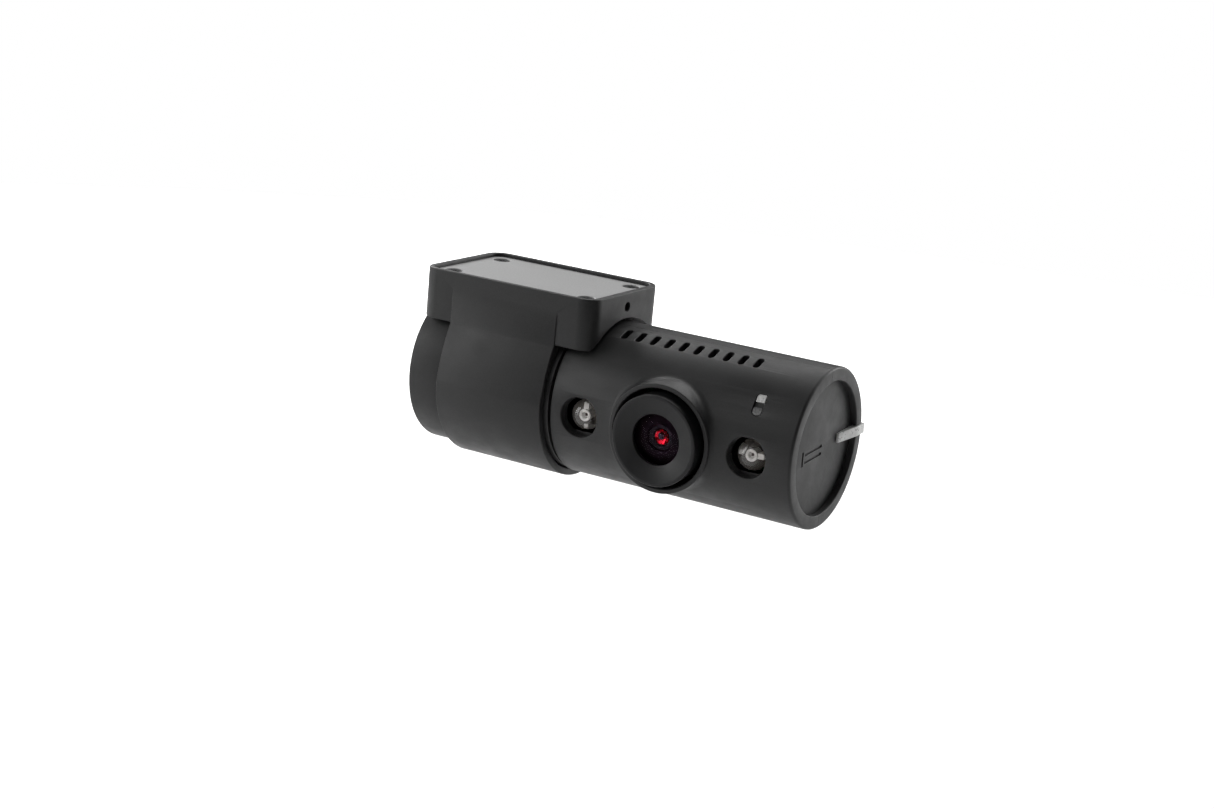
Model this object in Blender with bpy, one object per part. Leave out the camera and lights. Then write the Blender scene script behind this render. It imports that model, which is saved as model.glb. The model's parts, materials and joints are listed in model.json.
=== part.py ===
"""Tube-shaped infrared dash camera on a glass-mount bracket, as separate named pieces.

Frame of the part: metres, +Z up, origin at the centre of the mount plate's top face.
X runs along the camera tube, the lens looks along -Y.
Sizes below are in millimetres. Every piece is modelled round the tube's axis and hangs
on one of two empties that bring it to metres: "bracket_frame", or "tube_axis", which
also holds the tilt of the tube in its collar.
"""

import math

import bmesh
import bpy
from mathutils import Vector

MM = 0.001

# Camera tube
TUBE_R = 12.5
TUBE_RIGHT = 52.05
TUBE_LEFT = -15.85
TUBE_WALL = 1.5
TUBE_TILT_DEG = 3.1
AXIS_DROP = 16.67
SHOULDER_X = 10.9
NECK_R = 11.0
NECK_LEFT = -12.9
NECK_WALL = 1.4
SEAM_Y = -0.6
SEAM_GAP = 0.06
CHAMFER = 0.46
LEFT_CHAMFER = 0.25

# Right end
RIM_OPENING_R = 10.38
DISC_RECESS = 0.99
DISC_R = 10.9
DISC_T = 1.5
GUIDE_INNER_Y = 5.3
GUIDE_OUTER_Y = 12.95
GUIDE_Z = 0.2
GUIDE_HALF_W = 0.78

# Bracket
COLLAR_R = 13.55
COLLAR_BORE_R = 12.35
COLLAR_LEFT = -9.75
COLLAR_RIGHT = 9.68
COLLAR_CREST = (10.79, 9.15)
COLLAR_SIDE_MID = (12.5, 4.9)
COLLAR_TOP = 15.6
BLOCK_HALF_X = 15.84
BLOCK_HALF_Y = 10.64
BLOCK_BOTTOM = 9.15
RIM_H = 0.55
BLOCK_TOP = AXIS_DROP + RIM_H
BLOCK_CORNER_R = 2.8
ARCH_R = 13.2
RIM_W = 1.0
PLATE_T = 0.8
PLATE_SCREW_X = 12.3
PLATE_SCREW_Y = 6.9
PLATE_SCREW_SEAT_R = 1.38
PLATE_CLEARANCE = 0.1
PIN_HOLE_R = 0.72
PIN_HOLE_Z = 14.95
PIN_HOLE_DEPTH = 2.4
POCKET_HALF_X = 9.6
POCKET_HALF_Y = 8.6
POCKET_WALL = 1.6
BUSH_INNER_R = 11.2
BUSH_OUTER_R = 12.2
BUSH_RIGHT = 10.35

# Front of the tube: lens, lamps, vents and windows
LENS_X = 30.4
BOSS_R = 8.5
BOSS_OUT = 13.2
BOSS_IN = 7.0
BOSS_FILLET_R = 1.6
BOSS_FILLET_TOP = 12.95
FILLET_SINK = 0.04
BOSS_BORE_R = 7.75
BEZEL_R = 7.05
BEZEL_OUT = 14.7
BEZEL_DISH = 0.85
GLASS_OPENING_R = 3.97
BARREL_R = 6.0
LED_OFFSET_X = 14.35
LED_HOLE_R = 3.22
LED_LEDGE_OUT = 10.7
LED_BODY_R = 2.42
LED_TIP_OUT = 12.1
LED_FLANGE_R = 2.85
LED_BASE_OUT = 3.9
VENT_COUNT = 10
VENT_PITCH = 2.527
VENT_LAST_X = 41.29
VENT_ANGLE_DEG = 73.4
VENT_WIDTH = 1.25
VENT_LENGTH = 2.9
WINDOW_X = 44.95
WINDOW_ANGLE_DEG = 38.1
WINDOW_WIDTH = 1.7
WINDOW_LENGTH = 3.7
WINDOW_DEPTH = 0.35
STATUS_PIPE_Z = 8.3
SENSOR_PIPE_Z = 6.5
PIPE_R = 0.6

# Infrared lamps
LED_LEG_HALF = 0.25
LED_LEG_OFFSET = 1.27
LED_ARM_BACK = 9.1
LED_CUP_R = 0.8
LED_CUP_OUT = 10.3
LED_CAVITY_R = 1.85
LED_CAVITY_OUT = 10.6

# Inside
BOARD_FRONT_Y = 3.6
BOARD_T = 1.4
BOARD_LEFT = 13.0
BOARD_RIGHT = 48.3
BOARD_HALF_Z = 9.2
BOSS_SCREW_OFFSET_X = 9.75
CAP_SCREW_Y = 7.4
CAP_SCREW_SEAT_R = 1.5
PLUG_RECESS_R = 4.3
PLUG_RECESS_DEPTH = 5.0
SHELL_SCREW_SEAT_R = 1.55
PILOT_R = 0.8
CLEARANCE_HOLE_R = 0.9
HOLDER_SCREW_Z = 7.5

# Screws: head radius, head thickness, shank radius, length
PLATE_SCREW = (1.28, 0.36, 0.68, 3.8)
SHELL_SCREW = (1.4, 0.9, 0.65, 14.0)
CAP_SCREW = (1.35, 0.7, 0.62, 6.0)
HOLDER_SCREW = (1.1, 0.6, 0.55, 4.4)

# A cutter's overshoot past the surface that it cuts
PAST = 1.0
# Half the length of a cutter that runs right through the bracket
THROUGH = 30.0

ROUND = 48
HOLE_ROUND = 24
SMALL_ROUND = 20
PILOT_ROUND = 16
SCREW_ROUND = 12
# Start of a turned ring, in segments: pieces on crossing axes never line up corner to corner
RING_PHASE = {"x": 0.5, "y": 0.3, "z": 0.4}

# name: colour, roughness, metallic
FINISHES = {
    "shell_plastic": ((0.045, 0.045, 0.047), 0.55, 0.0),
    "bracket_plastic": ((0.040, 0.040, 0.042), 0.55, 0.0),
    "bezel_plastic": ((0.022, 0.022, 0.024), 0.45, 0.0),
    "bush_plastic": ((0.03, 0.03, 0.03), 0.4, 0.0),
    "plate_grey": ((0.42, 0.42, 0.42), 0.5, 0.0),
    "black_steel": ((0.05, 0.05, 0.05), 0.35, 1.0),
    "bright_steel": ((0.6, 0.6, 0.6), 0.3, 1.0),
    "barrel_metal": ((0.03, 0.03, 0.03), 0.4, 1.0),
    "coated_glass": ((0.10, 0.06, 0.12), 0.05, 0.0),
    "clear_epoxy": ((0.75, 0.74, 0.72), 0.05, 0.0),
    "light_guide": ((0.75, 0.76, 0.78), 0.25, 0.0),
    "smoked_window": ((0.25, 0.25, 0.25), 0.2, 0.0),
    "circuit_board": ((0.02, 0.12, 0.06), 0.5, 0.0),
    "chip_black": ((0.02, 0.02, 0.02), 0.4, 0.0),
    "white_ceramic": ((0.8, 0.78, 0.7), 0.4, 0.0),
    "aluminium": ((0.6, 0.61, 0.62), 0.35, 1.0),
    "thermal_blue": ((0.2, 0.3, 0.45), 0.8, 0.0),
    "lead_black": ((0.02, 0.02, 0.02), 0.6, 0.0),
    "gold_contact": ((0.8, 0.6, 0.25), 0.3, 1.0),
    "red_filter": ((0.25, 0.01, 0.02), 0.05, 0.0),
}


def clear_scene():
    for old in list(bpy.data.objects):
        bpy.data.objects.remove(old)


def finish(name):
    material = bpy.data.materials.get(name)
    if material is None:
        colour, roughness, metallic = FINISHES[name]
        material = bpy.data.materials.new(name)
        material.use_nodes = True
        shader = material.node_tree.nodes["Principled BSDF"]
        shader.inputs["Base Color"].default_value = (*colour, 1.0)
        shader.inputs["Roughness"].default_value = roughness
        shader.inputs["Metallic"].default_value = metallic
    return material


def add(name, mesh, finish_name, parent):
    piece = bpy.data.objects.new(name, mesh)
    bpy.context.collection.objects.link(piece)
    piece.parent = parent
    if finish_name is None:
        piece.hide_render = True
        piece.display_type = "WIRE"
    else:
        mesh.materials.append(finish(finish_name))
    return piece


def to_mesh(bm, name, smooth=True):
    bmesh.ops.recalc_face_normals(bm, faces=bm.faces)
    mesh = bpy.data.meshes.new(name)
    bm.to_mesh(mesh)
    bm.free()
    if smooth:
        mesh.shade_smooth()
        mesh.set_sharp_from_angle(angle=math.radians(35))
    return mesh


def place(axis, along, a, b):
    """A point at a distance along a turning axis ("x", "y" outward to -Y, or "z")."""
    if axis == "x":
        return Vector((along, a, b))
    if axis == "y":
        return Vector((a, -along, b))
    return Vector((a, b, along))


def turned(name, profile, axis="x", centre=(0.0, 0.0), segments=ROUND):
    """A closed profile of (along, radius) turned about an axis through centre."""
    bm = bmesh.new()
    rings = []
    for along, radius in profile:
        if radius == 0.0:
            rings.append([bm.verts.new(place(axis, along, *centre))])
            continue
        ring = []
        for k in range(segments):
            turn = 2 * math.pi * (k + RING_PHASE[axis]) / segments
            a = centre[0] + radius * math.cos(turn)
            b = centre[1] + radius * math.sin(turn)
            ring.append(bm.verts.new(place(axis, along, a, b)))
        rings.append(ring)
    for ring, after in zip(rings, rings[1:] + rings[:1]):
        for k in range(segments):
            corners = [
                ring[k % len(ring)],
                ring[(k + 1) % len(ring)],
                after[(k + 1) % len(after)],
                after[k % len(after)],
            ]
            unique = list(dict.fromkeys(corners))
            if len(unique) > 2:
                bm.faces.new(unique)
    return to_mesh(bm, name)


def box(name, low, high):
    bm = bmesh.new()
    bmesh.ops.create_cube(bm, size=1.0)
    for vert in bm.verts:
        for i in range(3):
            vert.co[i] = low[i] if vert.co[i] < 0 else high[i]
    return to_mesh(bm, name, smooth=False)


def prism(name, outline, low, high, axis="z"):
    """A flat outline of (a, b) points drawn out along an axis."""
    bm = bmesh.new()
    ends = [[bm.verts.new(place(axis, at, a, b)) for a, b in outline] for at in (low, high)]
    bm.faces.new(ends[0])
    bm.faces.new(ends[1])
    count = len(outline)
    for k in range(count):
        after = (k + 1) % count
        bm.faces.new([ends[0][k], ends[0][after], ends[1][after], ends[1][k]])
    return to_mesh(bm, name)


def rounded_rectangle(half_a, half_b, radius, steps=8):
    points = []
    for quarter, (sign_a, sign_b) in enumerate(((1, 1), (-1, 1), (-1, -1), (1, -1))):
        for k in range(steps + 1):
            turn = math.pi / 2 * (quarter + k / steps)
            a = sign_a * (half_a - radius) + radius * math.cos(turn)
            b = sign_b * (half_b - radius) + radius * math.sin(turn)
            points.append((a, b))
    return points


def skin(name, rings):
    """Rings of points, equally many in each, joined in turn and capped at both ends."""
    bm = bmesh.new()
    loops = [[bm.verts.new(point) for point in ring] for ring in rings]
    for loop, after in zip(loops, loops[1:]):
        for k in range(len(loop)):
            following = (k + 1) % len(loop)
            bm.faces.new([loop[k], loop[following], after[following], after[k]])
    bm.faces.new(loops[0])
    bm.faces.new(loops[-1])
    return to_mesh(bm, name)


def rod(name, axis, low, high, radius, centre=(0.0, 0.0), segments=SMALL_ROUND):
    return turned(name, [(low, 0.0), (low, radius), (high, radius), (high, 0.0)], axis, centre, segments)


def shape(piece, operation, mesh, parent):
    """Cuts mesh from a piece, joins it on, or keeps only what both share."""
    tool = add(f"{mesh.name}_{operation.lower()}", mesh, None, parent)
    step = piece.modifiers.new(tool.name, "BOOLEAN")
    step.operation = operation
    step.solver = "EXACT"
    step.object = tool
    piece.modifiers.new(f"{tool.name}_triangles", "TRIANGULATE").quad_method = "BEAUTY"
    return tool


def screw_profile(head_top, head_r, head_t, shank_r, length):
    """Profile from the top of the head down the shank, along a falling axis."""
    under = head_top - head_t
    return [
        (head_top, 0.0),
        (head_top, head_r * 0.8),
        (head_top - head_t * 0.35, head_r),
        (under, head_r),
        (under, shank_r),
        (head_top - length + shank_r, shank_r),
        (head_top - length, 0.0),
    ]


def screw(name, axis, head_top, centre, parent, size, direction=1):
    """A cross-recess screw. direction is +1 where its head faces along the axis."""
    head_r, head_t = size[:2]
    profile = [(direction * along, r) for along, r in screw_profile(head_top, *size)]
    piece = add(name, turned(name, profile, axis, centre, SCREW_ROUND), "black_steel", parent)
    arm = head_r * 0.55
    half = head_r * 0.12
    depth = head_t * 0.5
    top = direction * (head_top + PAST)
    floor = direction * (head_top - depth)
    low, high = min(top, floor), max(top, floor)
    cross = [
        (arm, half), (half, half), (half, arm), (-half, arm), (-half, half), (-arm, half),
        (-arm, -half), (-half, -half), (-half, -arm), (half, -arm), (half, -half), (arm, -half),
    ]
    outline = [(centre[0] + a, centre[1] + b) for a, b in cross]
    shape(piece, "DIFFERENCE", prism(f"{name}_cross", outline, low, high, axis), parent)
    return piece


def empty(name, location, tilt_deg=0.0):
    marker = bpy.data.objects.new(name, None)
    bpy.context.collection.objects.link(marker)
    marker.location = Vector(location) * MM
    marker.scale = (MM, MM, MM)
    marker.rotation_euler = (math.radians(tilt_deg), 0.0, 0.0)
    return marker


# Bracket ------------------------------------------------------------------


def collar_outline():
    """Round below the axis, slightly flattened above it, then straight up into the block."""
    points = []
    lower_steps = 40
    for k in range(lower_steps + 1):
        turn = math.pi * (1 + k / lower_steps)
        points.append((COLLAR_R * math.cos(turn), COLLAR_R * math.sin(turn)))
    side = []
    side_steps = 8
    start = Vector((COLLAR_R, 0.0))
    end = Vector(COLLAR_CREST)
    bend = 2 * Vector(COLLAR_SIDE_MID) - (start + end) / 2
    for k in range(1, side_steps + 1):
        t = k / side_steps
        side.append((1 - t) ** 2 * start + 2 * t * (1 - t) * bend + t ** 2 * end)
    side.append(Vector((COLLAR_CREST[0], COLLAR_TOP)))
    points += [(p.x, p.y) for p in side]
    points += [(-p.x, p.y) for p in reversed(side)]
    return points


def make_bracket(parent):
    block_outline = rounded_rectangle(BLOCK_HALF_X, BLOCK_HALF_Y, BLOCK_CORNER_R)
    block = prism("block", block_outline, BLOCK_BOTTOM, BLOCK_TOP)
    housing = add("bracket_housing", block, "bracket_plastic", parent)
    arch = rod("arch", "x", -THROUGH, THROUGH, ARCH_R, segments=ROUND)
    shape(housing, "DIFFERENCE", arch, parent)
    collar = prism("collar", collar_outline(), COLLAR_LEFT, COLLAR_RIGHT, "x")
    shape(housing, "UNION", collar, parent)
    bore = rod("collar_bore", "x", -THROUGH, THROUGH, COLLAR_BORE_R, segments=ROUND)
    shape(housing, "DIFFERENCE", bore, parent)
    inner_x = BLOCK_HALF_X - RIM_W
    inner_y = BLOCK_HALF_Y - RIM_W
    inner_corner_r = BLOCK_CORNER_R - RIM_W
    pocket = rounded_rectangle(inner_x, inner_y, inner_corner_r)
    plate_floor = AXIS_DROP - PLATE_T - 0.05
    shape(housing, "DIFFERENCE", prism("plate_pocket", pocket, plate_floor, BLOCK_TOP + PAST), parent)
    hollow = rounded_rectangle(POCKET_HALF_X, POCKET_HALF_Y, 1.0, steps=3)
    light_pocket = prism("light_pocket", hollow, COLLAR_BORE_R + POCKET_WALL, plate_floor + 0.5)
    shape(housing, "DIFFERENCE", light_pocket, parent)
    pin_hole_end = BLOCK_HALF_X - PIN_HOLE_DEPTH
    pin_centre = (0.0, PIN_HOLE_Z)
    pin_hole = rod("pin_hole", "x", pin_hole_end, BLOCK_HALF_X + PAST, PIN_HOLE_R, pin_centre, HOLE_ROUND)
    shape(housing, "DIFFERENCE", pin_hole, parent)

    plate_outline = rounded_rectangle(inner_x - PLATE_CLEARANCE, inner_y - PLATE_CLEARANCE, inner_corner_r)
    plate_mesh = prism("mount_plate", plate_outline, AXIS_DROP - PLATE_T, AXIS_DROP)
    plate = add("mount_plate", plate_mesh, "plate_grey", parent)
    seat_floor = AXIS_DROP - 0.48
    seat = [
        (AXIS_DROP + PAST, 0.0), (AXIS_DROP + PAST, PLATE_SCREW_SEAT_R), (seat_floor, PLATE_SCREW_SEAT_R),
        (seat_floor, PILOT_R), (AXIS_DROP - 2.0, PILOT_R), (AXIS_DROP - 2.0, 0.0),
    ]
    pilot_end = AXIS_DROP - 4.3
    number = 0
    for x in (-PLATE_SCREW_X, PLATE_SCREW_X):
        for y in (-PLATE_SCREW_Y, PLATE_SCREW_Y):
            number += 1
            pilot = rod(f"pilot_{number}", "z", pilot_end, AXIS_DROP, PILOT_R, (x, y), PILOT_ROUND)
            shape(housing, "DIFFERENCE", pilot, parent)
            shape(plate, "DIFFERENCE", turned(f"seat_{number}", seat, "z", (x, y), HOLE_ROUND), parent)
            screw(f"plate_screw_{number}", "z", AXIS_DROP - 0.06, (x, y), parent, PLATE_SCREW)

    bush_left = COLLAR_LEFT + 0.2
    bush = [
        (bush_left, BUSH_INNER_R), (bush_left, BUSH_OUTER_R), (BUSH_RIGHT, BUSH_OUTER_R),
        (BUSH_RIGHT, BUSH_INNER_R),
    ]
    add("friction_bush", turned("friction_bush", bush), "bush_plastic", parent)


# Tube shells ---------------------------------------------------------------


def tube_profile():
    body_in = TUBE_R - TUBE_WALL
    neck_in = NECK_R - NECK_WALL
    lip = TUBE_RIGHT - DISC_RECESS
    rib = lip - DISC_T - 0.1
    return [
        (TUBE_RIGHT, RIM_OPENING_R), (TUBE_RIGHT, TUBE_R - CHAMFER), (TUBE_RIGHT - CHAMFER, TUBE_R),
        (SHOULDER_X + 0.3, TUBE_R), (SHOULDER_X, TUBE_R - 0.3), (SHOULDER_X, NECK_R), (NECK_LEFT, NECK_R),
        (NECK_LEFT, neck_in), (SHOULDER_X + TUBE_WALL, neck_in), (SHOULDER_X + TUBE_WALL, body_in),
        (rib - 0.6, body_in), (rib - 0.6, DISC_R - 1.0), (rib, DISC_R - 1.0), (rib, body_in),
        (lip, body_in), (lip, RIM_OPENING_R),
    ]


def screw_boss_places():
    return (("left", LENS_X - BOSS_SCREW_OFFSET_X), ("right", LENS_X + BOSS_SCREW_OFFSET_X))


def lens_boss():
    """The boss round the lens, with a rolling-ball fillet at its foot on the tube.

    Beside the lens the tube reaches almost to the boss's front, so the ball is smaller there.
    """
    arc_steps = 4
    rings = [[] for _ in range(arc_steps + 5)]
    for k in range(ROUND):
        turn = 2 * math.pi * (k + RING_PHASE["y"]) / ROUND
        rise_2 = math.sin(turn) ** 2
        square = 1 - rise_2
        linear = 2 * (TUBE_R - BOSS_R * rise_2)
        constant = TUBE_R ** 2 - BOSS_R ** 2 * rise_2 - BOSS_FILLET_TOP ** 2
        ball = -constant / linear
        for _ in range(4):
            ball = -(constant + square * ball ** 2) / linear
        ball = min(ball, BOSS_FILLET_R)
        away = Vector((math.cos(turn), 0.0, math.sin(turn)))
        reach = (BOSS_R + ball) * away
        centre = Vector((reach.x, -math.sqrt((TUBE_R + ball) ** 2 - reach.z ** 2), reach.z))
        to_wall = -away
        to_tube = -Vector((0.0, centre.y, centre.z)).normalized()
        points = [BOSS_R * away * 0.9, BOSS_R * away, BOSS_R * away]
        for point, out in zip(points, (BOSS_OUT, BOSS_OUT, BOSS_OUT - 0.12)):
            point.y = -out
        points[1] -= 0.12 * away
        for step in range(arc_steps + 1):
            points.append(centre + ball * to_wall.slerp(to_tube, step / arc_steps))
        points[-1] += FILLET_SINK * to_tube
        points.append(Vector((points[-1].x, -BOSS_IN, points[-1].z * 0.97)))
        for ring, point in zip(rings, points):
            ring.append(point + Vector((LENS_X, 0.0, 0.0)))
    return skin("lens_boss", rings)


def make_front_shell(axis_empty):
    shell = add("front_shell", turned("front_shell", tube_profile()), "shell_plastic", axis_empty)
    half = box("front_half", (-40.0, -30.0, -30.0), (80.0, SEAM_Y - SEAM_GAP / 2, 30.0))
    shape(shell, "INTERSECT", half, axis_empty)
    inside = TUBE_R - TUBE_WALL
    shape(shell, "UNION", lens_boss(), axis_empty)
    foot = 0.15 - BOARD_FRONT_Y
    for side, x in screw_boss_places():
        boss = rod(f"boss_{side}", "y", foot, inside + 0.6, 1.6, (x, 0.0), HOLE_ROUND)
        shape(shell, "UNION", boss, axis_empty)
    mouth_r = BOSS_BORE_R + 0.25
    bore = [
        (0.0, 0.0), (0.0, BOSS_BORE_R), (BOSS_OUT - 0.15, BOSS_BORE_R), (BOSS_OUT + 0.1, mouth_r),
        (BOSS_OUT + 3.0, mouth_r), (BOSS_OUT + 3.0, 0.0),
    ]
    shape(shell, "DIFFERENCE", turned("lens_bore", bore, "y", (LENS_X, 0.0)), axis_empty)
    for side, x in screw_boss_places():
        tapped = rod(f"tapped_{side}", "y", -BOARD_FRONT_Y - PAST, 5.0, PILOT_R, (x, 0.0), PILOT_ROUND)
        shape(shell, "DIFFERENCE", tapped, axis_empty)
    seat_r = LED_BODY_R + 0.2
    hole = [
        (2.0, 0.0), (2.0, seat_r), (LED_LEDGE_OUT, seat_r), (LED_LEDGE_OUT, LED_HOLE_R - 0.25),
        (TUBE_R - 0.2, LED_HOLE_R), (TUBE_R + 2.0, LED_HOLE_R), (TUBE_R + 2.0, 0.0),
    ]
    for side, x in led_places():
        shape(shell, "DIFFERENCE", turned(f"led_hole_{side}", hole, "y", (x, 0.0), 32), axis_empty)
    cut_vents(shell, axis_empty)
    cut_window(shell, axis_empty)
    cut_cap_pilots(shell, axis_empty, front=True)
    return shell


def pill(half_length, radius, steps=6):
    """A slot outline, long in its second direction."""
    straight = half_length - radius
    points = []
    for end in (1, -1):
        for k in range(steps + 1):
            turn = math.pi * k / steps + (0 if end == 1 else math.pi)
            points.append((radius * math.cos(turn), end * straight + radius * math.sin(turn)))
    return points


def turn_round_tube(tool, angle_deg):
    """Swings a tool that points along -Y up round the tube's axis."""
    tool.rotation_euler = (-math.radians(angle_deg), 0.0, 0.0)


def cut_vents(shell, axis_empty):
    """One cutter with a row of separate slots."""
    slots = bmesh.new()
    for k in range(VENT_COUNT):
        x = VENT_LAST_X - k * VENT_PITCH
        outline = [(x + a, b) for a, b in pill(VENT_LENGTH / 2, VENT_WIDTH / 2, 3)]
        slot = prism("vent", outline, TUBE_R - TUBE_WALL - 1.2, TUBE_R + PAST, "y")
        slots.from_mesh(slot)
        bpy.data.meshes.remove(slot)
    row = to_mesh(slots, "vent_row")
    turn_round_tube(shape(shell, "DIFFERENCE", row, axis_empty), VENT_ANGLE_DEG)


def cut_window(shell, axis_empty):
    outline = [(WINDOW_X + a, b) for a, b in pill(WINDOW_LENGTH / 2, WINDOW_WIDTH / 2)]
    recess = prism("window_recess", outline, TUBE_R - WINDOW_DEPTH, TUBE_R + PAST, "y")
    turn_round_tube(shape(shell, "DIFFERENCE", recess, axis_empty), WINDOW_ANGLE_DEG)
    for name, z in (("status", STATUS_PIPE_Z), ("sensor", SENSOR_PIPE_Z)):
        hole = rod(f"{name}_hole", "y", 4.0, TUBE_R, PIPE_R + 0.1, (WINDOW_X, z))
        shape(shell, "DIFFERENCE", hole, axis_empty)


def cut_cap_pilots(shell, axis_empty, front):
    """The block in a shell's half of the neck that takes an end-cap screw."""
    y = -CAP_SCREW_Y if front else CAP_SCREW_Y
    name = "front" if front else "rear"
    half = 1.6
    in_wall = NECK_R - NECK_WALL + 0.5
    low, high = (-in_wall, y + half) if front else (y - half, in_wall)
    outline = [(low, -half), (high, -half), (high, half), (low, half)]
    block = prism(f"cap_boss_{name}", outline, NECK_LEFT + 0.2, NECK_LEFT + 6.0, "x")
    shape(shell, "UNION", block, axis_empty)
    pilot_end = NECK_LEFT + 5.0
    pilot = rod(f"cap_pilot_{name}", "x", NECK_LEFT - PAST, pilot_end, 0.75, (y, 0.0), PILOT_ROUND)
    shape(shell, "DIFFERENCE", pilot, axis_empty)


def make_rear_shell(axis_empty):
    shell = add("rear_shell", turned("rear_shell", tube_profile()), "shell_plastic", axis_empty)
    half = box("rear_half", (-40.0, SEAM_Y + SEAM_GAP / 2, -30.0), (80.0, 30.0, 30.0))
    shape(shell, "INTERSECT", half, axis_empty)
    inside = TUBE_R - TUBE_WALL
    board_back = BOARD_FRONT_Y + BOARD_T
    for side, x in screw_boss_places():
        boss_end = -board_back - 0.15
        boss = rod(f"rear_boss_{side}", "y", -inside - 0.6, boss_end, 2.1, (x, 0.0), HOLE_ROUND)
        shape(shell, "UNION", boss, axis_empty)
    start, seat_floor, end = -TUBE_R - PAST, -TUBE_R + 1.5, -board_back + PAST
    seat = [
        (start, 0.0), (start, SHELL_SCREW_SEAT_R), (seat_floor, SHELL_SCREW_SEAT_R),
        (seat_floor, CLEARANCE_HOLE_R), (end, CLEARANCE_HOLE_R), (end, 0.0),
    ]
    for side, x in screw_boss_places():
        tool = turned(f"screw_seat_{side}", seat, "y", (x, 0.0), HOLE_ROUND)
        shape(shell, "DIFFERENCE", tool, axis_empty)
    notch_half = GUIDE_HALF_W + 0.12
    low = (TUBE_RIGHT - DISC_RECESS - 0.02, 8.0, GUIDE_Z - notch_half)
    notch = box("rim_notch", low, (TUBE_RIGHT + PAST, 16.0, GUIDE_Z + notch_half))
    shape(shell, "DIFFERENCE", notch, axis_empty)
    cut_cap_pilots(shell, axis_empty, front=False)
    return shell


def make_shell_screws(axis_empty):
    for side, x in screw_boss_places():
        screw(f"shell_screw_{side}", "y", TUBE_R - 0.35, (x, 0.0), axis_empty, SHELL_SCREW, direction=-1)


# Tube ends -------------------------------------------------------------------


def make_right_end(axis_empty):
    face = TUBE_RIGHT - DISC_RECESS - 0.05
    disc_mesh = rod("end_disc", "x", face - DISC_T, face, DISC_R - 0.05, segments=ROUND)
    disc = add("end_disc", disc_mesh, "shell_plastic", axis_empty)
    mark = box("index_groove", (face - 0.25, -6.45, -1.6), (face + PAST, -5.9, 0.75))
    shape(disc, "DIFFERENCE", mark, axis_empty)
    slot = box("guide_slot", (face - 3.0, 5.35, -0.45), (face + PAST, 6.65, 0.85))
    shape(disc, "DIFFERENCE", slot, axis_empty)

    ramp = [
        (face + 0.08, GUIDE_INNER_Y), (face + 0.08, GUIDE_OUTER_Y), (TUBE_RIGHT + 0.25, GUIDE_OUTER_Y),
        (TUBE_RIGHT + 0.25, GUIDE_OUTER_Y - 2.4), (face + 0.45, GUIDE_INNER_Y),
    ]
    guide_mesh = prism("end_light_guide", ramp, GUIDE_Z - GUIDE_HALF_W, GUIDE_Z + GUIDE_HALF_W, "z")
    guide = add("end_light_guide", guide_mesh, "light_guide", axis_empty)
    leg = box("guide_leg", (BOARD_RIGHT + 0.35, 5.5, -0.3), (face + 0.5, 6.5, 0.7))
    shape(guide, "UNION", leg, axis_empty)
    led = box("end_led", (BOARD_RIGHT - 1.5, 5.15, -0.5), (BOARD_RIGHT + 0.1, 6.05, 0.9))
    add("end_led", led, "white_ceramic", axis_empty)


def make_left_end(axis_empty):
    wall_right = NECK_LEFT - 0.1
    skirt_right = COLLAR_LEFT - 0.35
    sleeve_right = TUBE_LEFT + PLUG_RECESS_DEPTH
    sleeve_r = PLUG_RECESS_R + 0.9
    profile = [
        (TUBE_LEFT, PLUG_RECESS_R), (TUBE_LEFT, TUBE_R - LEFT_CHAMFER), (TUBE_LEFT + LEFT_CHAMFER, TUBE_R),
        (skirt_right, TUBE_R), (skirt_right, NECK_R + 0.1), (wall_right, NECK_R + 0.1),
        (wall_right, sleeve_r), (sleeve_right, sleeve_r), (sleeve_right, PLUG_RECESS_R),
    ]
    cap = add("left_end_cap", turned("left_end_cap", profile), "shell_plastic", axis_empty)
    seat_floor = TUBE_LEFT + 1.0
    shank_hole_r = 0.85
    seat = [
        (TUBE_LEFT - PAST, 0.0), (TUBE_LEFT - PAST, CAP_SCREW_SEAT_R), (seat_floor, CAP_SCREW_SEAT_R),
        (seat_floor, shank_hole_r), (wall_right + PAST, shank_hole_r), (wall_right + PAST, 0.0),
    ]
    head_out = -TUBE_LEFT - 0.2
    for number, y in enumerate((-CAP_SCREW_Y, CAP_SCREW_Y), start=1):
        shape(cap, "DIFFERENCE", turned(f"cap_seat_{number}", seat, "x", (y, 0.0), HOLE_ROUND), axis_empty)
        screw(f"end_cap_screw_{number}", "x", head_out, (y, 0.0), axis_empty, CAP_SCREW, direction=-1)

    front = sleeve_right + 0.1
    step, back = front + 0.6, front + 4.0
    body = [(front, 0.0), (front, 2.7), (step, 2.7), (step, 4.6), (back, 4.6), (back, 0.0)]
    socket = add("plug_socket", turned("plug_socket", body, segments=24), "chip_black", axis_empty)
    apart = 0.9
    places = ((apart, apart), (-apart, apart), (-apart, -apart), (apart, -apart))
    for number, place_yz in enumerate(places, start=1):
        hole = rod(f"contact_hole_{number}", "x", front - PAST, front + 2.6, 0.42, place_yz, PILOT_ROUND)
        shape(socket, "DIFFERENCE", hole, axis_empty)
        contact = rod(f"socket_contact_{number}", "x", front + 0.3, front + 2.5, 0.3, place_yz, SCREW_ROUND)
        add(f"socket_contact_{number}", contact, "gold_contact", axis_empty)
    ring = [(front - 0.9, 2.95), (front - 0.9, 3.35), (front + 0.5, 3.35), (front + 0.5, 2.95)]
    add("socket_ring", turned("socket_ring", ring, segments=24), "bright_steel", axis_empty)


# Lens ------------------------------------------------------------------------


def dome(edge_at, apex_at, edge_r, steps=4):
    """Points of an arc-like cap from the axis out to its edge, as (along, radius)."""
    points = []
    for k in range(steps + 1):
        r = edge_r * k / steps
        points.append((apex_at + (edge_at - apex_at) * (r / edge_r) ** 2, r))
    return points


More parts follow.
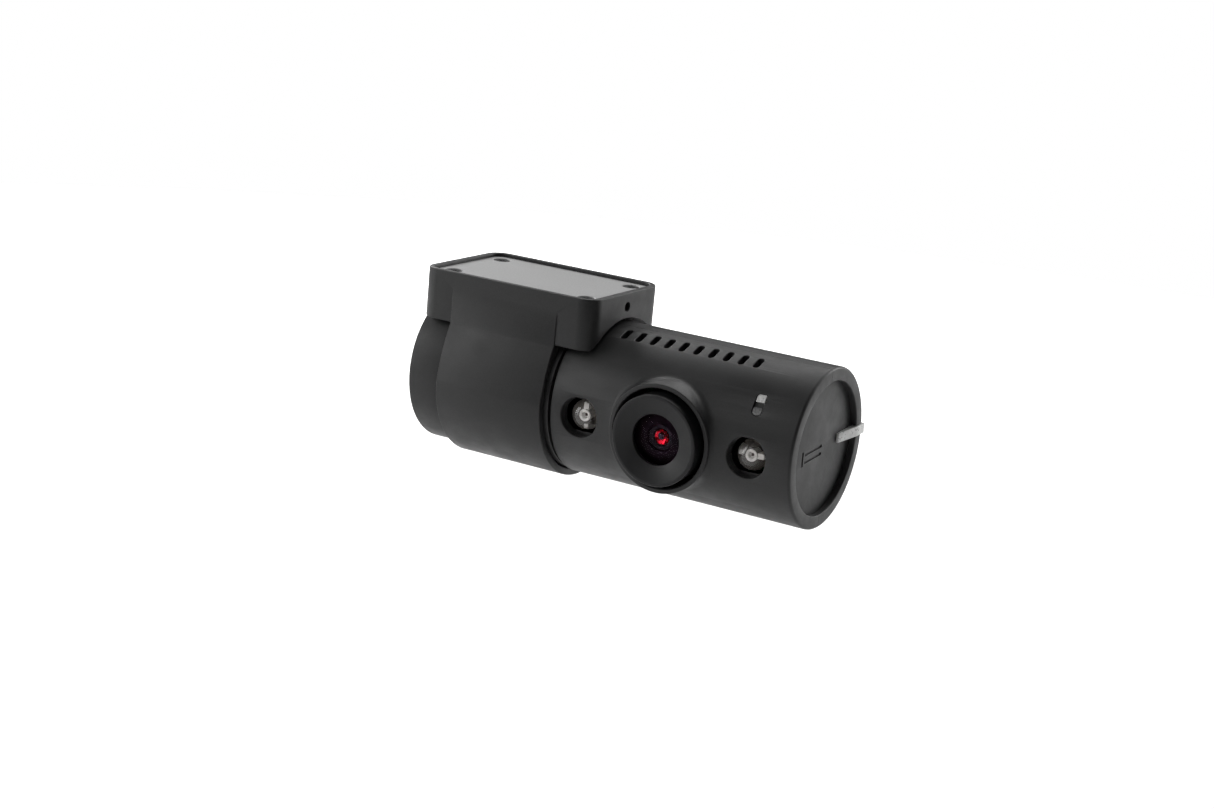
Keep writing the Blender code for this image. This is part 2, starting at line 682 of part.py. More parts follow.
def make_lens(axis_empty):
    centre = (LENS_X, 0.0)

    def lathe(name, profile, finish_name, segments=28):
        return add(name, turned(name, profile, "y", centre, segments), finish_name, axis_empty)

    bezel = [
        (8.6, BARREL_R + 0.15), (8.6, BEZEL_R), (BEZEL_OUT - 0.25, BEZEL_R), (BEZEL_OUT, BEZEL_R - 0.25),
        (BEZEL_OUT, BEZEL_R - 0.4), (BEZEL_OUT - BEZEL_DISH, GLASS_OPENING_R), (13.4, GLASS_OPENING_R),
        (13.4, BARREL_R + 0.15),
    ]
    lathe("lens_bezel", bezel, "bezel_plastic", ROUND)
    barrel = [
        (-1.0, 2.7), (-1.0, BARREL_R - 1.2), (1.0, BARREL_R - 1.2), (1.0, BARREL_R), (13.3, BARREL_R),
        (13.3, 4.55), (11.5, 4.55), (11.5, 3.25), (3.2, 3.25), (3.2, 2.7),
    ]
    lathe("lens_barrel", barrel, "barrel_metal")
    front_glass = dome(12.75, 13.7, 4.4) + [(12.2, 4.4), (12.2, 4.0)]
    front_glass += reversed(dome(12.25, 13.1, 3.8))
    lathe("lens_front_glass", front_glass, "coated_glass")
    lathe("lens_spacer", [(9.9, 1.6), (9.9, 3.1), (11.3, 3.1), (11.3, 2.5)], "bezel_plastic")
    middle = dome(9.3, 9.75, 3.1) + list(reversed(dome(8.4, 7.9, 3.1)))
    lathe("lens_middle_element", middle, "red_filter")
    rear = dome(5.2, 5.8, 3.1) + list(reversed(dome(4.6, 4.3, 3.1)))
    lathe("lens_rear_element", rear, "coated_glass")

    def about_lens(outline):
        return [(LENS_X + a, b) for a, b in outline]

    holder_back = 0.1 - BOARD_FRONT_Y
    base_outline = about_lens(rounded_rectangle(7.3, 8.6, 1.0, 3))
    base = prism("lens_holder", base_outline, holder_back, -0.4, "y")
    holder = add("lens_holder", base, "chip_black", axis_empty)
    shape(holder, "UNION", rod("holder_tube", "y", -1.5, 6.0, 7.3, centre, 32), axis_empty)
    thread = rod("holder_thread", "y", -1.15, 7.0, BARREL_R + 0.1, centre, 32)
    shape(holder, "DIFFERENCE", thread, axis_empty)
    cavity_outline = about_lens(rounded_rectangle(5.4, 5.0, 0.5, 3))
    cavity = prism("holder_cavity", cavity_outline, holder_back - PAST, -0.8, "y")
    shape(holder, "DIFFERENCE", cavity, axis_empty)
    head_out = BOARD_FRONT_Y + BOARD_T + 0.65
    for number, z in enumerate((-HOLDER_SCREW_Z, HOLDER_SCREW_Z), start=1):
        hole = rod(f"holder_hole_{number}", "y", -6.0, 7.0, 0.75, (LENS_X, z), PILOT_ROUND)
        shape(holder, "DIFFERENCE", hole, axis_empty)
        screw(f"holder_screw_{number}", "y", head_out, (LENS_X, z), axis_empty, HOLDER_SCREW, direction=-1)
    frame = about_lens(rounded_rectangle(4.3, 4.0, 0.3, 2))
    add("ir_pass_filter", prism("ir_pass_filter", frame, -1.65, -1.25, "y"), "red_filter", axis_empty)
    chip = about_lens(rounded_rectangle(4.2, 3.6, 0.3, 2))
    add("image_sensor", prism("image_sensor", chip, -3.5, -2.4, "y"), "chip_black", axis_empty)


# Infrared lamps ----------------------------------------------------------------


def led_places():
    return (("left", LENS_X - LED_OFFSET_X), ("right", LENS_X + LED_OFFSET_X))


def make_infrared_lamps(axis_empty):
    crown_base = LED_TIP_OUT - LED_BODY_R
    flange_out = LED_BASE_OUT + 1.0
    profile = [
        (LED_BASE_OUT, LED_CAVITY_R), (LED_BASE_OUT, LED_FLANGE_R), (flange_out, LED_FLANGE_R),
        (flange_out, LED_BODY_R),
    ]
    for degrees in range(0, 90, 15):
        turn = math.radians(degrees)
        profile.append((crown_base + LED_BODY_R * math.sin(turn), LED_BODY_R * math.cos(turn)))
    profile += [(LED_TIP_OUT, 0.0), (LED_CAVITY_OUT, 0.0), (LED_CAVITY_OUT, LED_CAVITY_R)]
    spacer_low, spacer_high = 0.1 - BOARD_FRONT_Y, LED_BASE_OUT - 0.1
    spacer = [
        (spacer_low, LED_CAVITY_R), (spacer_low, LED_BODY_R), (spacer_high, LED_BODY_R),
        (spacer_high, LED_CAVITY_R),
    ]
    for side, x in led_places():
        name = f"ir_led_{side}"
        add(name, turned(name, profile, "y", (x, 0.0), SMALL_ROUND), "clear_epoxy", axis_empty)
        spacer_name = f"led_spacer_{side}"
        spacer_mesh = turned(spacer_name, spacer, "y", (x, 0.0), SMALL_ROUND)
        add(spacer_name, spacer_mesh, "chip_black", axis_empty)
        make_lamp_leads(name, side, x, axis_empty)


def make_lamp_leads(name, side, x, axis_empty):
    """Two square legs; the cathode carries an arm with the lamp's cup."""
    back = -BOARD_FRONT_Y - BOARD_T - 0.4
    for leg, sign in (("cathode", 1), ("anode", -1)):
        offset = sign * LED_LEG_OFFSET
        du, dv = (0.0, offset) if side == "left" else (offset, 0.0)
        out = LED_ARM_BACK + 0.6 if leg == "cathode" else LED_ARM_BACK + 0.8
        low = (x + du - LED_LEG_HALF, -out, dv - LED_LEG_HALF)
        high = (x + du + LED_LEG_HALF, -back, dv + LED_LEG_HALF)
        leg_name = f"{name}_{leg}"
        post = add(leg_name, box(leg_name, low, high), "bright_steel", axis_empty)
        if leg == "anode":
            continue
        near, far, half = 0.5, 1.3, 0.35
        if side == "left":
            arm_low, arm_high = (x - half, -near), (x + half, far)
        else:
            arm_low, arm_high = (x - near, -half), (x + far, half)
        arm = box(
            f"{leg_name}_arm", (arm_low[0], -LED_ARM_BACK - 0.7, arm_low[1]),
            (arm_high[0], -LED_ARM_BACK, arm_high[1]),
        )
        shape(post, "UNION", arm, axis_empty)
        cup = rod(f"{leg_name}_cup", "y", LED_ARM_BACK + 0.3, LED_CUP_OUT, LED_CUP_R, (x, 0.0))
        shape(post, "UNION", cup, axis_empty)


# Electronics -------------------------------------------------------------------


def make_electronics(axis_empty):
    back = BOARD_FRONT_Y + BOARD_T
    mid_x = (BOARD_LEFT + BOARD_RIGHT) / 2
    half_x = (BOARD_RIGHT - BOARD_LEFT) / 2
    outline = [(mid_x + a, b) for a, b in rounded_rectangle(half_x, BOARD_HALF_Z, 1.0, 4)]
    board_mesh = prism("main_board", outline, -back, -BOARD_FRONT_Y, "y")
    board = add("main_board", board_mesh, "circuit_board", axis_empty)

    def drill(name, radius, centre, segments):
        shape(board, "DIFFERENCE", rod(name, "y", -8.0, 0.0, radius, centre, segments), axis_empty)

    for side, x in screw_boss_places():
        drill(f"board_hole_{side}", 1.0, (x, 0.0), SMALL_ROUND)
    for number, z in enumerate((-HOLDER_SCREW_Z, HOLDER_SCREW_Z), start=1):
        drill(f"board_screw_hole_{number}", PILOT_R, (LENS_X, z), PILOT_ROUND)
    for side, x in led_places():
        for number, offset in enumerate((-LED_LEG_OFFSET, LED_LEG_OFFSET), start=1):
            centre = (x, offset) if side == "left" else (x + offset, 0.0)
            drill(f"leg_hole_{side}_{number}", 0.5, centre, SCREW_ROUND)

    def block_on_board(name, x, z, half_x, half_z, low_y, high_y, finish_name):
        mesh = box(name, (x - half_x, low_y, z - half_z), (x + half_x, high_y, z + half_z))
        add(name, mesh, finish_name, axis_empty)

    block_on_board("processor_chip", LENS_X, 0.0, 4.5, 4.5, back + 0.1, back + 1.1, "chip_black")
    block_on_board("thermal_pad", LENS_X, 0.0, 4.2, 4.2, back + 1.2, back + 1.9, "thermal_blue")
    spreader_low = back + 2.0
    corner = (LENS_X + 6.8, spreader_low + 0.8, 6.4)
    spreader = box("heat_spreader", (LENS_X - 6.8, spreader_low, -6.4), corner)
    plate = add("heat_spreader", spreader, "aluminium", axis_empty)
    fin_count = 5
    for k in range(fin_count):
        x = LENS_X - 6.0 + 12.0 * k / (fin_count - 1)
        fin = box(f"fin_{k + 1}", (x - 0.3, spreader_low + 0.5, -5.0), (x + 0.3, spreader_low + 2.2, 5.0))
        shape(plate, "UNION", fin, axis_empty)
    front = BOARD_FRONT_Y - 0.1
    block_on_board("status_led", WINDOW_X, STATUS_PIPE_Z, 0.8, 0.6, front - 0.8, front, "white_ceramic")
    block_on_board("light_sensor", WINDOW_X, SENSOR_PIPE_Z, 0.9, 0.8, front - 0.7, front, "chip_black")
    pipes = (
        ("status_light_pipe", STATUS_PIPE_Z, "light_guide"),
        ("sensor_window", SENSOR_PIPE_Z, "smoked_window"),
    )
    for name, z, finish_name in pipes:
        surface = math.sqrt((TUBE_R - 0.2) ** 2 - (z + PIPE_R) ** 2)
        pipe = rod(name, "y", -BOARD_FRONT_Y + 1.1, surface, PIPE_R, (WINDOW_X, z))
        add(name, pipe, finish_name, axis_empty)
    connector = (BOARD_LEFT + 0.6, back + 0.1, -7.3), (BOARD_LEFT + 4.6, back + 2.4, -2.4)
    add("board_connector", box("board_connector", *connector), "white_ceramic", axis_empty)
    make_internal_lead(axis_empty, back)


def make_internal_lead(axis_empty, board_back):
    """The lead from the plug socket to the board connector, through the neck."""
    start_x = TUBE_LEFT + PLUG_RECESS_DEPTH + 0.1 + 4.1
    route = [
        (start_x, 0.0, 0.0), (start_x + 2.5, 0.0, 0.0), (start_x + 6.5, 2.0, -1.2),
        (start_x + 11.0, 4.7, -3.4), (start_x + 15.0, 6.1, -4.6), (BOARD_LEFT + 0.5, 6.2, -4.8),
    ]
    curve = bpy.data.curves.new("internal_lead", "CURVE")
    curve.dimensions = "3D"
    curve.bevel_depth = 0.8
    curve.bevel_resolution = 2
    curve.use_fill_caps = True
    points = smooth_route([Vector(p) for p in route], 5)
    spline = curve.splines.new("POLY")
    spline.points.add(len(points) - 1)
    for point, where in zip(spline.points, points):
        point.co = (*where, 1.0)
    add("internal_lead", curve, "lead_black", axis_empty)


def smooth_route(points, steps):
    """A Catmull-Rom curve through the points."""
    padded = [points[0] * 2 - points[1]] + points + [points[-1] * 2 - points[-2]]
    smooth = []
    for a, b, c, d in zip(padded, padded[1:], padded[2:], padded[3:]):
        for k in range(steps):
            t = k / steps
            square = (2 * a - 5 * b + 4 * c - d) * t ** 2
            cube = (3 * b - a - 3 * c + d) * t ** 3
            smooth.append(0.5 * (2 * b + (c - a) * t + square + cube))
    return smooth + [points[-1]]


def main():
    clear_scene()
    bracket = empty("bracket_frame", (0.0, 0.0, -AXIS_DROP))
    tube = empty("tube_axis", (0.0, 0.0, -AXIS_DROP), TUBE_TILT_DEG)
    make_bracket(bracket)
    make_front_shell(tube)
    make_rear_shell(tube)
    make_shell_screws(tube)
    make_right_end(tube)
    make_left_end(tube)
    make_lens(tube)
    make_infrared_lamps(tube)
    make_electronics(tube)


main()
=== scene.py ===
"""The looks of the tube-shaped dash camera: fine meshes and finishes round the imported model."""

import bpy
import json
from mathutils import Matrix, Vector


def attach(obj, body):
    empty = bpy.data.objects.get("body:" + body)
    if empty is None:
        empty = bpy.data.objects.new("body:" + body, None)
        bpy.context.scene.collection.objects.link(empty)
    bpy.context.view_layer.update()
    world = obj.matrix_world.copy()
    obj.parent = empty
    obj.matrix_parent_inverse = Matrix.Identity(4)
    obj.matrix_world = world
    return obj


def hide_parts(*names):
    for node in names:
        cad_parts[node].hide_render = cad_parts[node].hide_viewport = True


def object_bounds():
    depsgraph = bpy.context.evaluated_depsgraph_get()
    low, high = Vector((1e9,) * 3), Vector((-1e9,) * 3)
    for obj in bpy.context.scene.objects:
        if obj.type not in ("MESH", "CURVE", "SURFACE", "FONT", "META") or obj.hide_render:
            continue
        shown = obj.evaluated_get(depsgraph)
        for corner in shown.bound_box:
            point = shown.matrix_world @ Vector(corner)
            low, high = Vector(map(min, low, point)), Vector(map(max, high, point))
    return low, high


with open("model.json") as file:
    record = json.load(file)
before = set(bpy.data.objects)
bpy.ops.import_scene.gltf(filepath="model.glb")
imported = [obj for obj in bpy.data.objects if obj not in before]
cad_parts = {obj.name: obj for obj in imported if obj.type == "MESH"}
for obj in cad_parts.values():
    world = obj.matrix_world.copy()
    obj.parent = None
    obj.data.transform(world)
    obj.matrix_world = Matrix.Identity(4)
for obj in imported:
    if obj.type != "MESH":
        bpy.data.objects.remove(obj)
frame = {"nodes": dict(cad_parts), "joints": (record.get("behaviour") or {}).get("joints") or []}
cad_box = [list(corner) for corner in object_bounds()]

import json
import math

import bmesh
import bpy
from mathutils import Matrix, Vector

# Sizes are in millimetres round the camera tube's axis. X runs along the tube, "out" is
# towards -Y, where the lens looks, and "up" is +Z. PLACE brings them to the row frame.
MM = 0.001
AXIS_Z = frame["joints"][0]["pos_m"][2]
AXIS_DROP = -AXIS_Z / MM
TUBE_TILT = math.radians(3.1)
TO_ROW = Matrix.Translation((0.0, 0.0, AXIS_Z)) @ Matrix.Scale(MM, 4)
PLACE = {
    "bracket": TO_ROW,
    "camera_tube": TO_ROW @ Matrix.Rotation(TUBE_TILT, 4, "X"),
}

# Camera tube
TUBE_R = 12.5
TUBE_RIGHT = 52.05
TUBE_LEFT = -15.85
TUBE_WALL = 1.5
SHOULDER_X = 10.9
NECK_R = 11.0
NECK_LEFT = -12.9
NECK_WALL = 1.4
SEAM_Y = -0.6
SEAM_GAP = 0.06
SEAM_LIP_HALF_W = 0.2
SEAM_LIP_IN = 1.9
SEAM_LIP_OUT = 0.1
SEAM_LIP_LEFT = SHOULDER_X + 0.6
SEAM_LIP_RIGHT = TUBE_RIGHT - 0.35
SEAM_LIP_EDGE = 0.05
SHOULDER_EDGE = 0.3
RIM_EDGE = 0.46
SOFT_EDGE = 0.15
RIB_T = 0.6
RIB_DEPTH = 1.0

# Right end. A groove or slot is its lowest Y and Z and its highest Y and Z
RIM_OPENING_R = 10.38
DISC_RECESS = 0.99
DISC_FACE = TUBE_RIGHT - DISC_RECESS - 0.05
DISC_R = 10.85
DISC_T = 1.5
DISC_GAP = 0.1
DISC_EDGE = 0.1
INDEX_GROOVE = (-6.45, -1.6, -5.9, 0.75)
INDEX_GROOVE_DEPTH = 0.45
LINE_GROOVE_Y = (-5.5, 0.3)
LINE_GROOVE_Z = (-1.25, -0.05)
LINE_GROOVE_W = 0.45
LINE_GROOVE_DEPTH = 0.2
GUIDE_SLOT = (5.35, -0.45, 6.65, 0.85)
GUIDE_SLOT_DEPTH = 3.0
GUIDE_INNER_Y = 5.3
GUIDE_OUTER_Y = 12.95
GUIDE_HOOK = 2.4
GUIDE_Z = 0.2
GUIDE_HALF_W = 0.78
GUIDE_PROUD = 0.25
GUIDE_LIFT = 0.06
GUIDE_THIN = 0.45
GUIDE_EDGE = 0.12
NOTCH_GAP = 0.1
NOTCH_Y = (8.0, 16.0)

# Bracket
COLLAR_R = 13.55
COLLAR_BORE_R = 12.35
COLLAR_FLARE = 0.2
COLLAR_LEFT = -9.75
COLLAR_RIGHT = 9.68
COLLAR_CREST = (10.79, 9.15)
COLLAR_SIDE_MID = (12.5, 4.9)
COLLAR_TOP = 15.6
BLOCK_HALF_X = 15.84
BLOCK_HALF_Y = 10.64
BLOCK_BOTTOM = 9.15
BLOCK_TOP = AXIS_DROP + 0.55
BLOCK_CORNER_R = 2.8
BLOCK_EDGE = 0.22
ARCH_R = 13.2
RIM_W = 1.0
PLATE_T = 0.8
PLATE_GAP = 0.08
PLATE_BED_GAP = 0.05
PLATE_EDGE = 0.08
PLATE_SCREW_X = 12.3
PLATE_SCREW_Y = 6.9
PLATE_HOLE_R = 1.38
PLATE_HOLE_DEPTH = 0.6
PIN_HOLE_R = 0.72
PIN_HOLE_Z = 14.95
PIN_HOLE_DEPTH = 2.4
PIN_HOLE_EDGE = 0.1
BUSH_INNER_R = 11.2
BUSH_OUTER_R = 12.2
BUSH_LEFT = COLLAR_LEFT + 0.2
BUSH_RIGHT = 10.35
BUSH_EDGE = 0.12

# Front of the tube
LENS_X = 30.4
BOSS_R = 8.5
BOSS_OUT = 13.2
BOSS_IN = 7.0
BOSS_FILLET_R = 1.6
BOSS_FILLET_TOP = 12.95
BOSS_BORE_R = 7.75
BOSS_SINK = 0.02
BOSS_ROOT_TAPER = 0.97
BEZEL_R = 7.05
BEZEL_OUT = 14.7
BEZEL_DISH = 0.85
GLASS_OPENING_R = 3.97
BARREL_R = 6.0
# Centre of the dark pupil, left of the lens axis, so that it darkens the left of the red reflex as painted
# shade
PUPIL_AND_SHADE_AT = (LENS_X - 0.26, 0.06)
LED_OFFSET_X = 14.35
LED_HOLE_R = 3.22
LED_MOUTH_R = LED_HOLE_R - 0.05
LED_MOUTH_DEPTH = 1.05
LED_MOUTH_EDGE = 0.22
LED_LEDGE_OUT = 10.7
LED_LEDGE_R = LED_HOLE_R - 0.25
LED_SEAT_IN = 2.0
LED_SEAT_OUT = TUBE_R - 1.0
LED_BODY_R = 2.42
LED_BODY_GAP = 0.2
LED_TIP_OUT = 12.1
LED_FLANGE_R = 2.85
LED_FLANGE_T = 1.0
LED_BASE_OUT = 3.9
LED_LEG_HALF = 0.25
LED_LEG_OFFSET = 1.27
LED_LEG_BACK = -5.4
CATHODE_OUT = 9.6
ANODE_OUT = 9.9
LED_BAR_OUT = (9.1, 10.1)
LED_BAR_OFFSET = 1.15
LED_DIE_OUT = (9.91, 10.03)
LED_DIE_HALF = 0.13
VENT_COUNT = 10
VENT_PITCH = 2.527
VENT_LAST_X = 41.29
VENT_ANGLE = math.radians(73.4)
VENT_WIDTH = 1.25
VENT_LENGTH = 2.9
VENT_INSET = 0.1
VENT_DEPTH = 2.4
VENT_EDGE = 0.12
WINDOW_X = 44.95
WINDOW_ANGLE = math.radians(38.1)
WINDOW_WIDTH = 1.7
WINDOW_LENGTH = 3.7
WINDOW_DEPTH = 0.35
WINDOW_CUT_PAST = 0.12
WINDOW_EDGE = 0.06
WINDOW_FACE_GAP = 0.06
WINDOW_FACE_BED = 0.1
WINDOW_FACE_SINK = 0.16

# Rear and left end
SHELL_SCREW_OFFSET_X = 9.75
SHELL_SCREW_SINK = 0.35
SHELL_SEAT_R = 1.55
SHELL_SEAT_DEPTH = 1.5
SHELL_SEAT_EDGE = 0.15
CAP_SCREW_Y = 7.4
CAP_SCREW_SINK = 0.2
CAP_SEAT_R = 1.5
CAP_SEAT_DEPTH = 1.0
CAP_SEAT_EDGE = 0.15
CAP_GAP = 0.1
PLUG_RECESS_R = 4.3
PLUG_RECESS_DEPTH = 5.0
PLUG_SLEEVE_T = 0.9

# Screws: head radius, head height, shank radius, length
PLATE_SCREW = (1.28, 0.36, 0.68, 3.8)
PLATE_SCREW_SINK = 0.06
SHELL_SCREW = (1.4, 0.9, 0.65, 14.0)
CAP_SCREW = (1.35, 0.7, 0.62, 6.0)

# Studio, in metres. A softbox is its name, place, size and power in watts
FLOOR_R = 0.6
FLOOR_DROP = 0.060
FLOOR_GLOW = 0.9
FLOOR_GLOW_FROM = FLOOR_R * 0.35
FLOOR_GLOW_TO = FLOOR_R * 0.9
STUDIO_LIGHT = 0.02
LIT_POINT = (0.018, 0.0, -0.015)
SOFTBOXES = [
    ("top_softbox", (0.0, 0.40, 0.55), (0.5, 0.5), 2.9),
    ("left_softbox", (-0.55, -0.35, 0.20), (0.4, 0.5), 2.8),
    ("front_softbox", (-0.10, -0.60, 0.50), (0.5, 0.5), 1.1),
    ("left_back_softbox", (-0.50, 0.30, 0.30), (0.4, 0.4), 3.3),
    ("right_back_softbox", (0.40, 0.70, 0.20), (0.5, 0.4), 3.6),
]

# Camera: its angles in degrees, its place in metres and its lens in mm
CAMERA_AZIMUTH, CAMERA_ELEVATION, CAMERA_ROLL = 29.358, 14.489, 5.353
CAMERA_PLACE = (0.172676, -0.282397, 0.065841)
CAMERA_LENS = 62.84
CAMERA_SENSOR = 36.0
CAMERA_CLIP_START = 0.01

# Meshes. A cutter reaches PAST the surface that it opens, or THROUGH the whole part
PAST = 1.0
THROUGH = 30.0
HALF_LEFT, HALF_RIGHT = -40.0, 80.0
ROUND = 160
BORE_ROUND = 128
HOLE_ROUND = 64
SEAT_ROUND = 48
SCREW_ROUND = 40
EDGE_STEPS = 3
ARC_STEPS = 4
SHARP_EDGE = math.radians(35)
# Start of a turned ring, in segments: pieces on crossing axes never line up corner to corner
RING_PHASE = {"x": 0.5, "y": 0.3, "z": 0.4}


# Meshes -------------------------------------------------------------------------------


def soften(corners, steps=ARC_STEPS):
    """A closed outline of (a, b) or (a, b, radius) corners, with round ones as arcs."""
    points = []
    for k, corner in enumerate(corners):
        here = Vector(corner[:2])
        if len(corner) < 3:
            points.append(tuple(here))
            continue
        before = (Vector(corners[k - 1][:2]) - here).normalized()
        after = (Vector(corners[(k + 1) % len(corners)][:2]) - here).normalized()
        half = before.angle(after) / 2
        centre = here + (before + after).normalized() * corner[2] / math.sin(half)
        start = here + before * corner[2] / math.tan(half) - centre
        end = here + after * corner[2] / math.tan(half) - centre
        sweep = start.angle(end)
        for step in range(steps + 1):
            t = step / steps
            arc = (math.sin((1 - t) * sweep) * start + math.sin(t * sweep) * end) / math.sin(sweep)
            points.append(tuple(centre + arc))
    return points


def place(axis, along, a, b):
    """A point at a distance along an axis: "x", "y" (outward, to -Y) or "z"."""
    if axis == "x":
        return Vector((along, a, b))
    if axis == "y":
        return Vector((a, -along, b))
    return Vector((a, b, along))


def to_mesh(bm, name):
    bmesh.ops.recalc_face_normals(bm, faces=bm.faces)
    mesh = bpy.data.meshes.new(name)
    bm.to_mesh(mesh)
    bm.free()
    return mesh


def turned(name, profile, axis="x", centre=(0.0, 0.0), segments=ROUND):
    """A closed profile of (along, radius) turned about an axis through centre."""
    bm = bmesh.new()
    rings = []
    for along, radius in profile:
        if radius < 1e-6:
            rings.append([bm.verts.new(place(axis, along, *centre))])
            continue
        ring = []
        for k in range(segments):
            turn = 2 * math.pi * (k + RING_PHASE[axis]) / segments
            a = centre[0] + radius * math.cos(turn)
            b = centre[1] + radius * math.sin(turn)
            ring.append(bm.verts.new(place(axis, along, a, b)))
        rings.append(ring)
    for ring, after in zip(rings, rings[1:] + rings[:1]):
        for k in range(segments):
            following = (k + 1) % segments
            corners = [
                ring[k % len(ring)], ring[following % len(ring)],
                after[following % len(after)], after[k % len(after)],
            ]
            corners = list(dict.fromkeys(corners))
            if len(corners) > 2:
                bm.faces.new(corners)
    return to_mesh(bm, name)


def skin(name, rings):
    """Rings of points, equally many in each, joined in turn and capped at both ends."""
    bm = bmesh.new()
    loops = [[bm.verts.new(point) for point in ring] for ring in rings]
    for loop, after in zip(loops, loops[1:]):
        for k in range(len(loop)):
            following = (k + 1) % len(loop)
            bm.faces.new([loop[k], loop[following], after[following], after[k]])
    bm.faces.new(loops[0])
    bm.faces.new(loops[-1])
    return to_mesh(bm, name)


def inset(outline, distance):
    """A smooth closed outline, counter-clockwise, moved inward by a distance."""
    points = [Vector(p) for p in outline]
    moved = []
    for k, here in enumerate(points):
        along = (points[(k + 1) % len(points)] - points[k - 1]).normalized()
        moved.append((here.x - along.y * distance, here.y + along.x * distance))
    return moved


def slab(name, outline, low, high, axis="z", edge=0.0):
    """An outline drawn out along an axis, with both its edges rounded."""
    if edge == 0.0:
        levels = [(low, 0.0), (high, 0.0)]
    else:
        turns = [math.pi / 2 * k / EDGE_STEPS for k in range(EDGE_STEPS + 1)]
        levels = [(low + edge * (1 - math.sin(t)), edge * (1 - math.cos(t))) for t in reversed(turns)]
        levels += [(high - edge * (1 - math.sin(t)), edge * (1 - math.cos(t))) for t in turns]
    rings = []
    for along, cut in levels:
        ring = inset(outline, cut) if cut else outline
        rings.append([place(axis, along, a, b) for a, b in ring])
    return skin(name, rings)


def rectangle(low_a, low_b, high_a, high_b):
    return [(low_a, low_b), (high_a, low_b), (high_a, high_b), (low_a, high_b)]


def round_rectangle(half_a, half_b, radius, steps=12):
    corners = [(half_a, half_b), (-half_a, half_b), (-half_a, -half_b), (half_a, -half_b)]
    return soften([(a, b, radius) for a, b in corners], steps)


def disc_outline(radius, segments=HOLE_ROUND):
    turns = [2 * math.pi * (k + RING_PHASE["y"]) / segments for k in range(segments)]
    return [(radius * math.cos(t), radius * math.sin(t)) for t in turns]


def pill(half_length, radius, steps=10):
    """A slot outline, long in its second direction."""
    straight = half_length - radius
    points = []
    for end, begin in ((1, 0.0), (-1, math.pi)):
        for k in range(steps + 1):
            turn = begin + math.pi * k / steps
            points.append((radius * math.cos(turn), end * straight + radius * math.sin(turn)))
    return points


def mouth(name, outline, depth, edge):
    """A cutter for a hole in the tube's wall. outline(grow) gives its outline, and the
    hole's edge is rounded where it meets the tube, all the way round."""
    rings = [[Vector((a, -(TUBE_R - depth), b)) for a, b in outline(0.0)]]
    for k in range(ARC_STEPS + 1):
        turn = math.pi / 2 * k / ARC_STEPS
        ring = outline(edge * (1 - math.cos(turn)))
        sink = edge * (1 - math.sin(turn))
        rings.append([Vector((a, sink - math.sqrt(TUBE_R ** 2 - b * b), b)) for a, b in ring])
    rings.append([point - Vector((0.0, 0.6, 0.0)) for point in rings[-1]])
    return skin(name, rings)


def box_mesh(name, low, high):
    bm = bmesh.new()
    bmesh.ops.create_cube(bm, size=1.0)
    for vert in bm.verts:
        for i in range(3):
            vert.co[i] = low[i] if vert.co[i] < 0 else high[i]
    return to_mesh(bm, name)


def carve(mesh, *steps):
    """A mesh after boolean steps such as ("DIFFERENCE", tool). A tool is a mesh or (mesh, matrix)."""
    piece = bpy.data.objects.new("carved", mesh)
    bpy.context.collection.objects.link(piece)
    for operation, tool in steps:
        tool_mesh, matrix = tool if isinstance(tool, tuple) else (tool, Matrix.Identity(4))
        tool_mesh.transform(matrix)
        other = bpy.data.objects.new("tool", tool_mesh)
        bpy.context.collection.objects.link(other)
        cut = piece.modifiers.new("cut", "BOOLEAN")
        cut.operation = operation
        cut.solver = "EXACT"
        cut.object = other
        bpy.context.view_layer.update()
        evaluated = piece.evaluated_get(bpy.context.evaluated_depsgraph_get())
        result = bpy.data.meshes.new_from_object(evaluated)
        piece.modifiers.clear()
        piece.data = result
        bpy.data.objects.remove(other)
    result = piece.data
    bpy.data.objects.remove(piece)
    return result


def piece(name, mesh, finish, body, slot, replaces=()):
    """Adds a finished piece that rides on a body and stands for any CAD nodes in replaces."""
    mesh.name = name
    mesh.transform(PLACE[body])
    mesh.shade_smooth()
    mesh.set_sharp_from_angle(angle=SHARP_EDGE)
    mesh.materials.clear()
    mesh.materials.append(finish)
    thing = bpy.data.objects.new(name, mesh)
    bpy.context.collection.objects.link(thing)
    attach(thing, body)
    if replaces:
        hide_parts(*replaces)


# Finishes -----------------------------------------------------------------------------


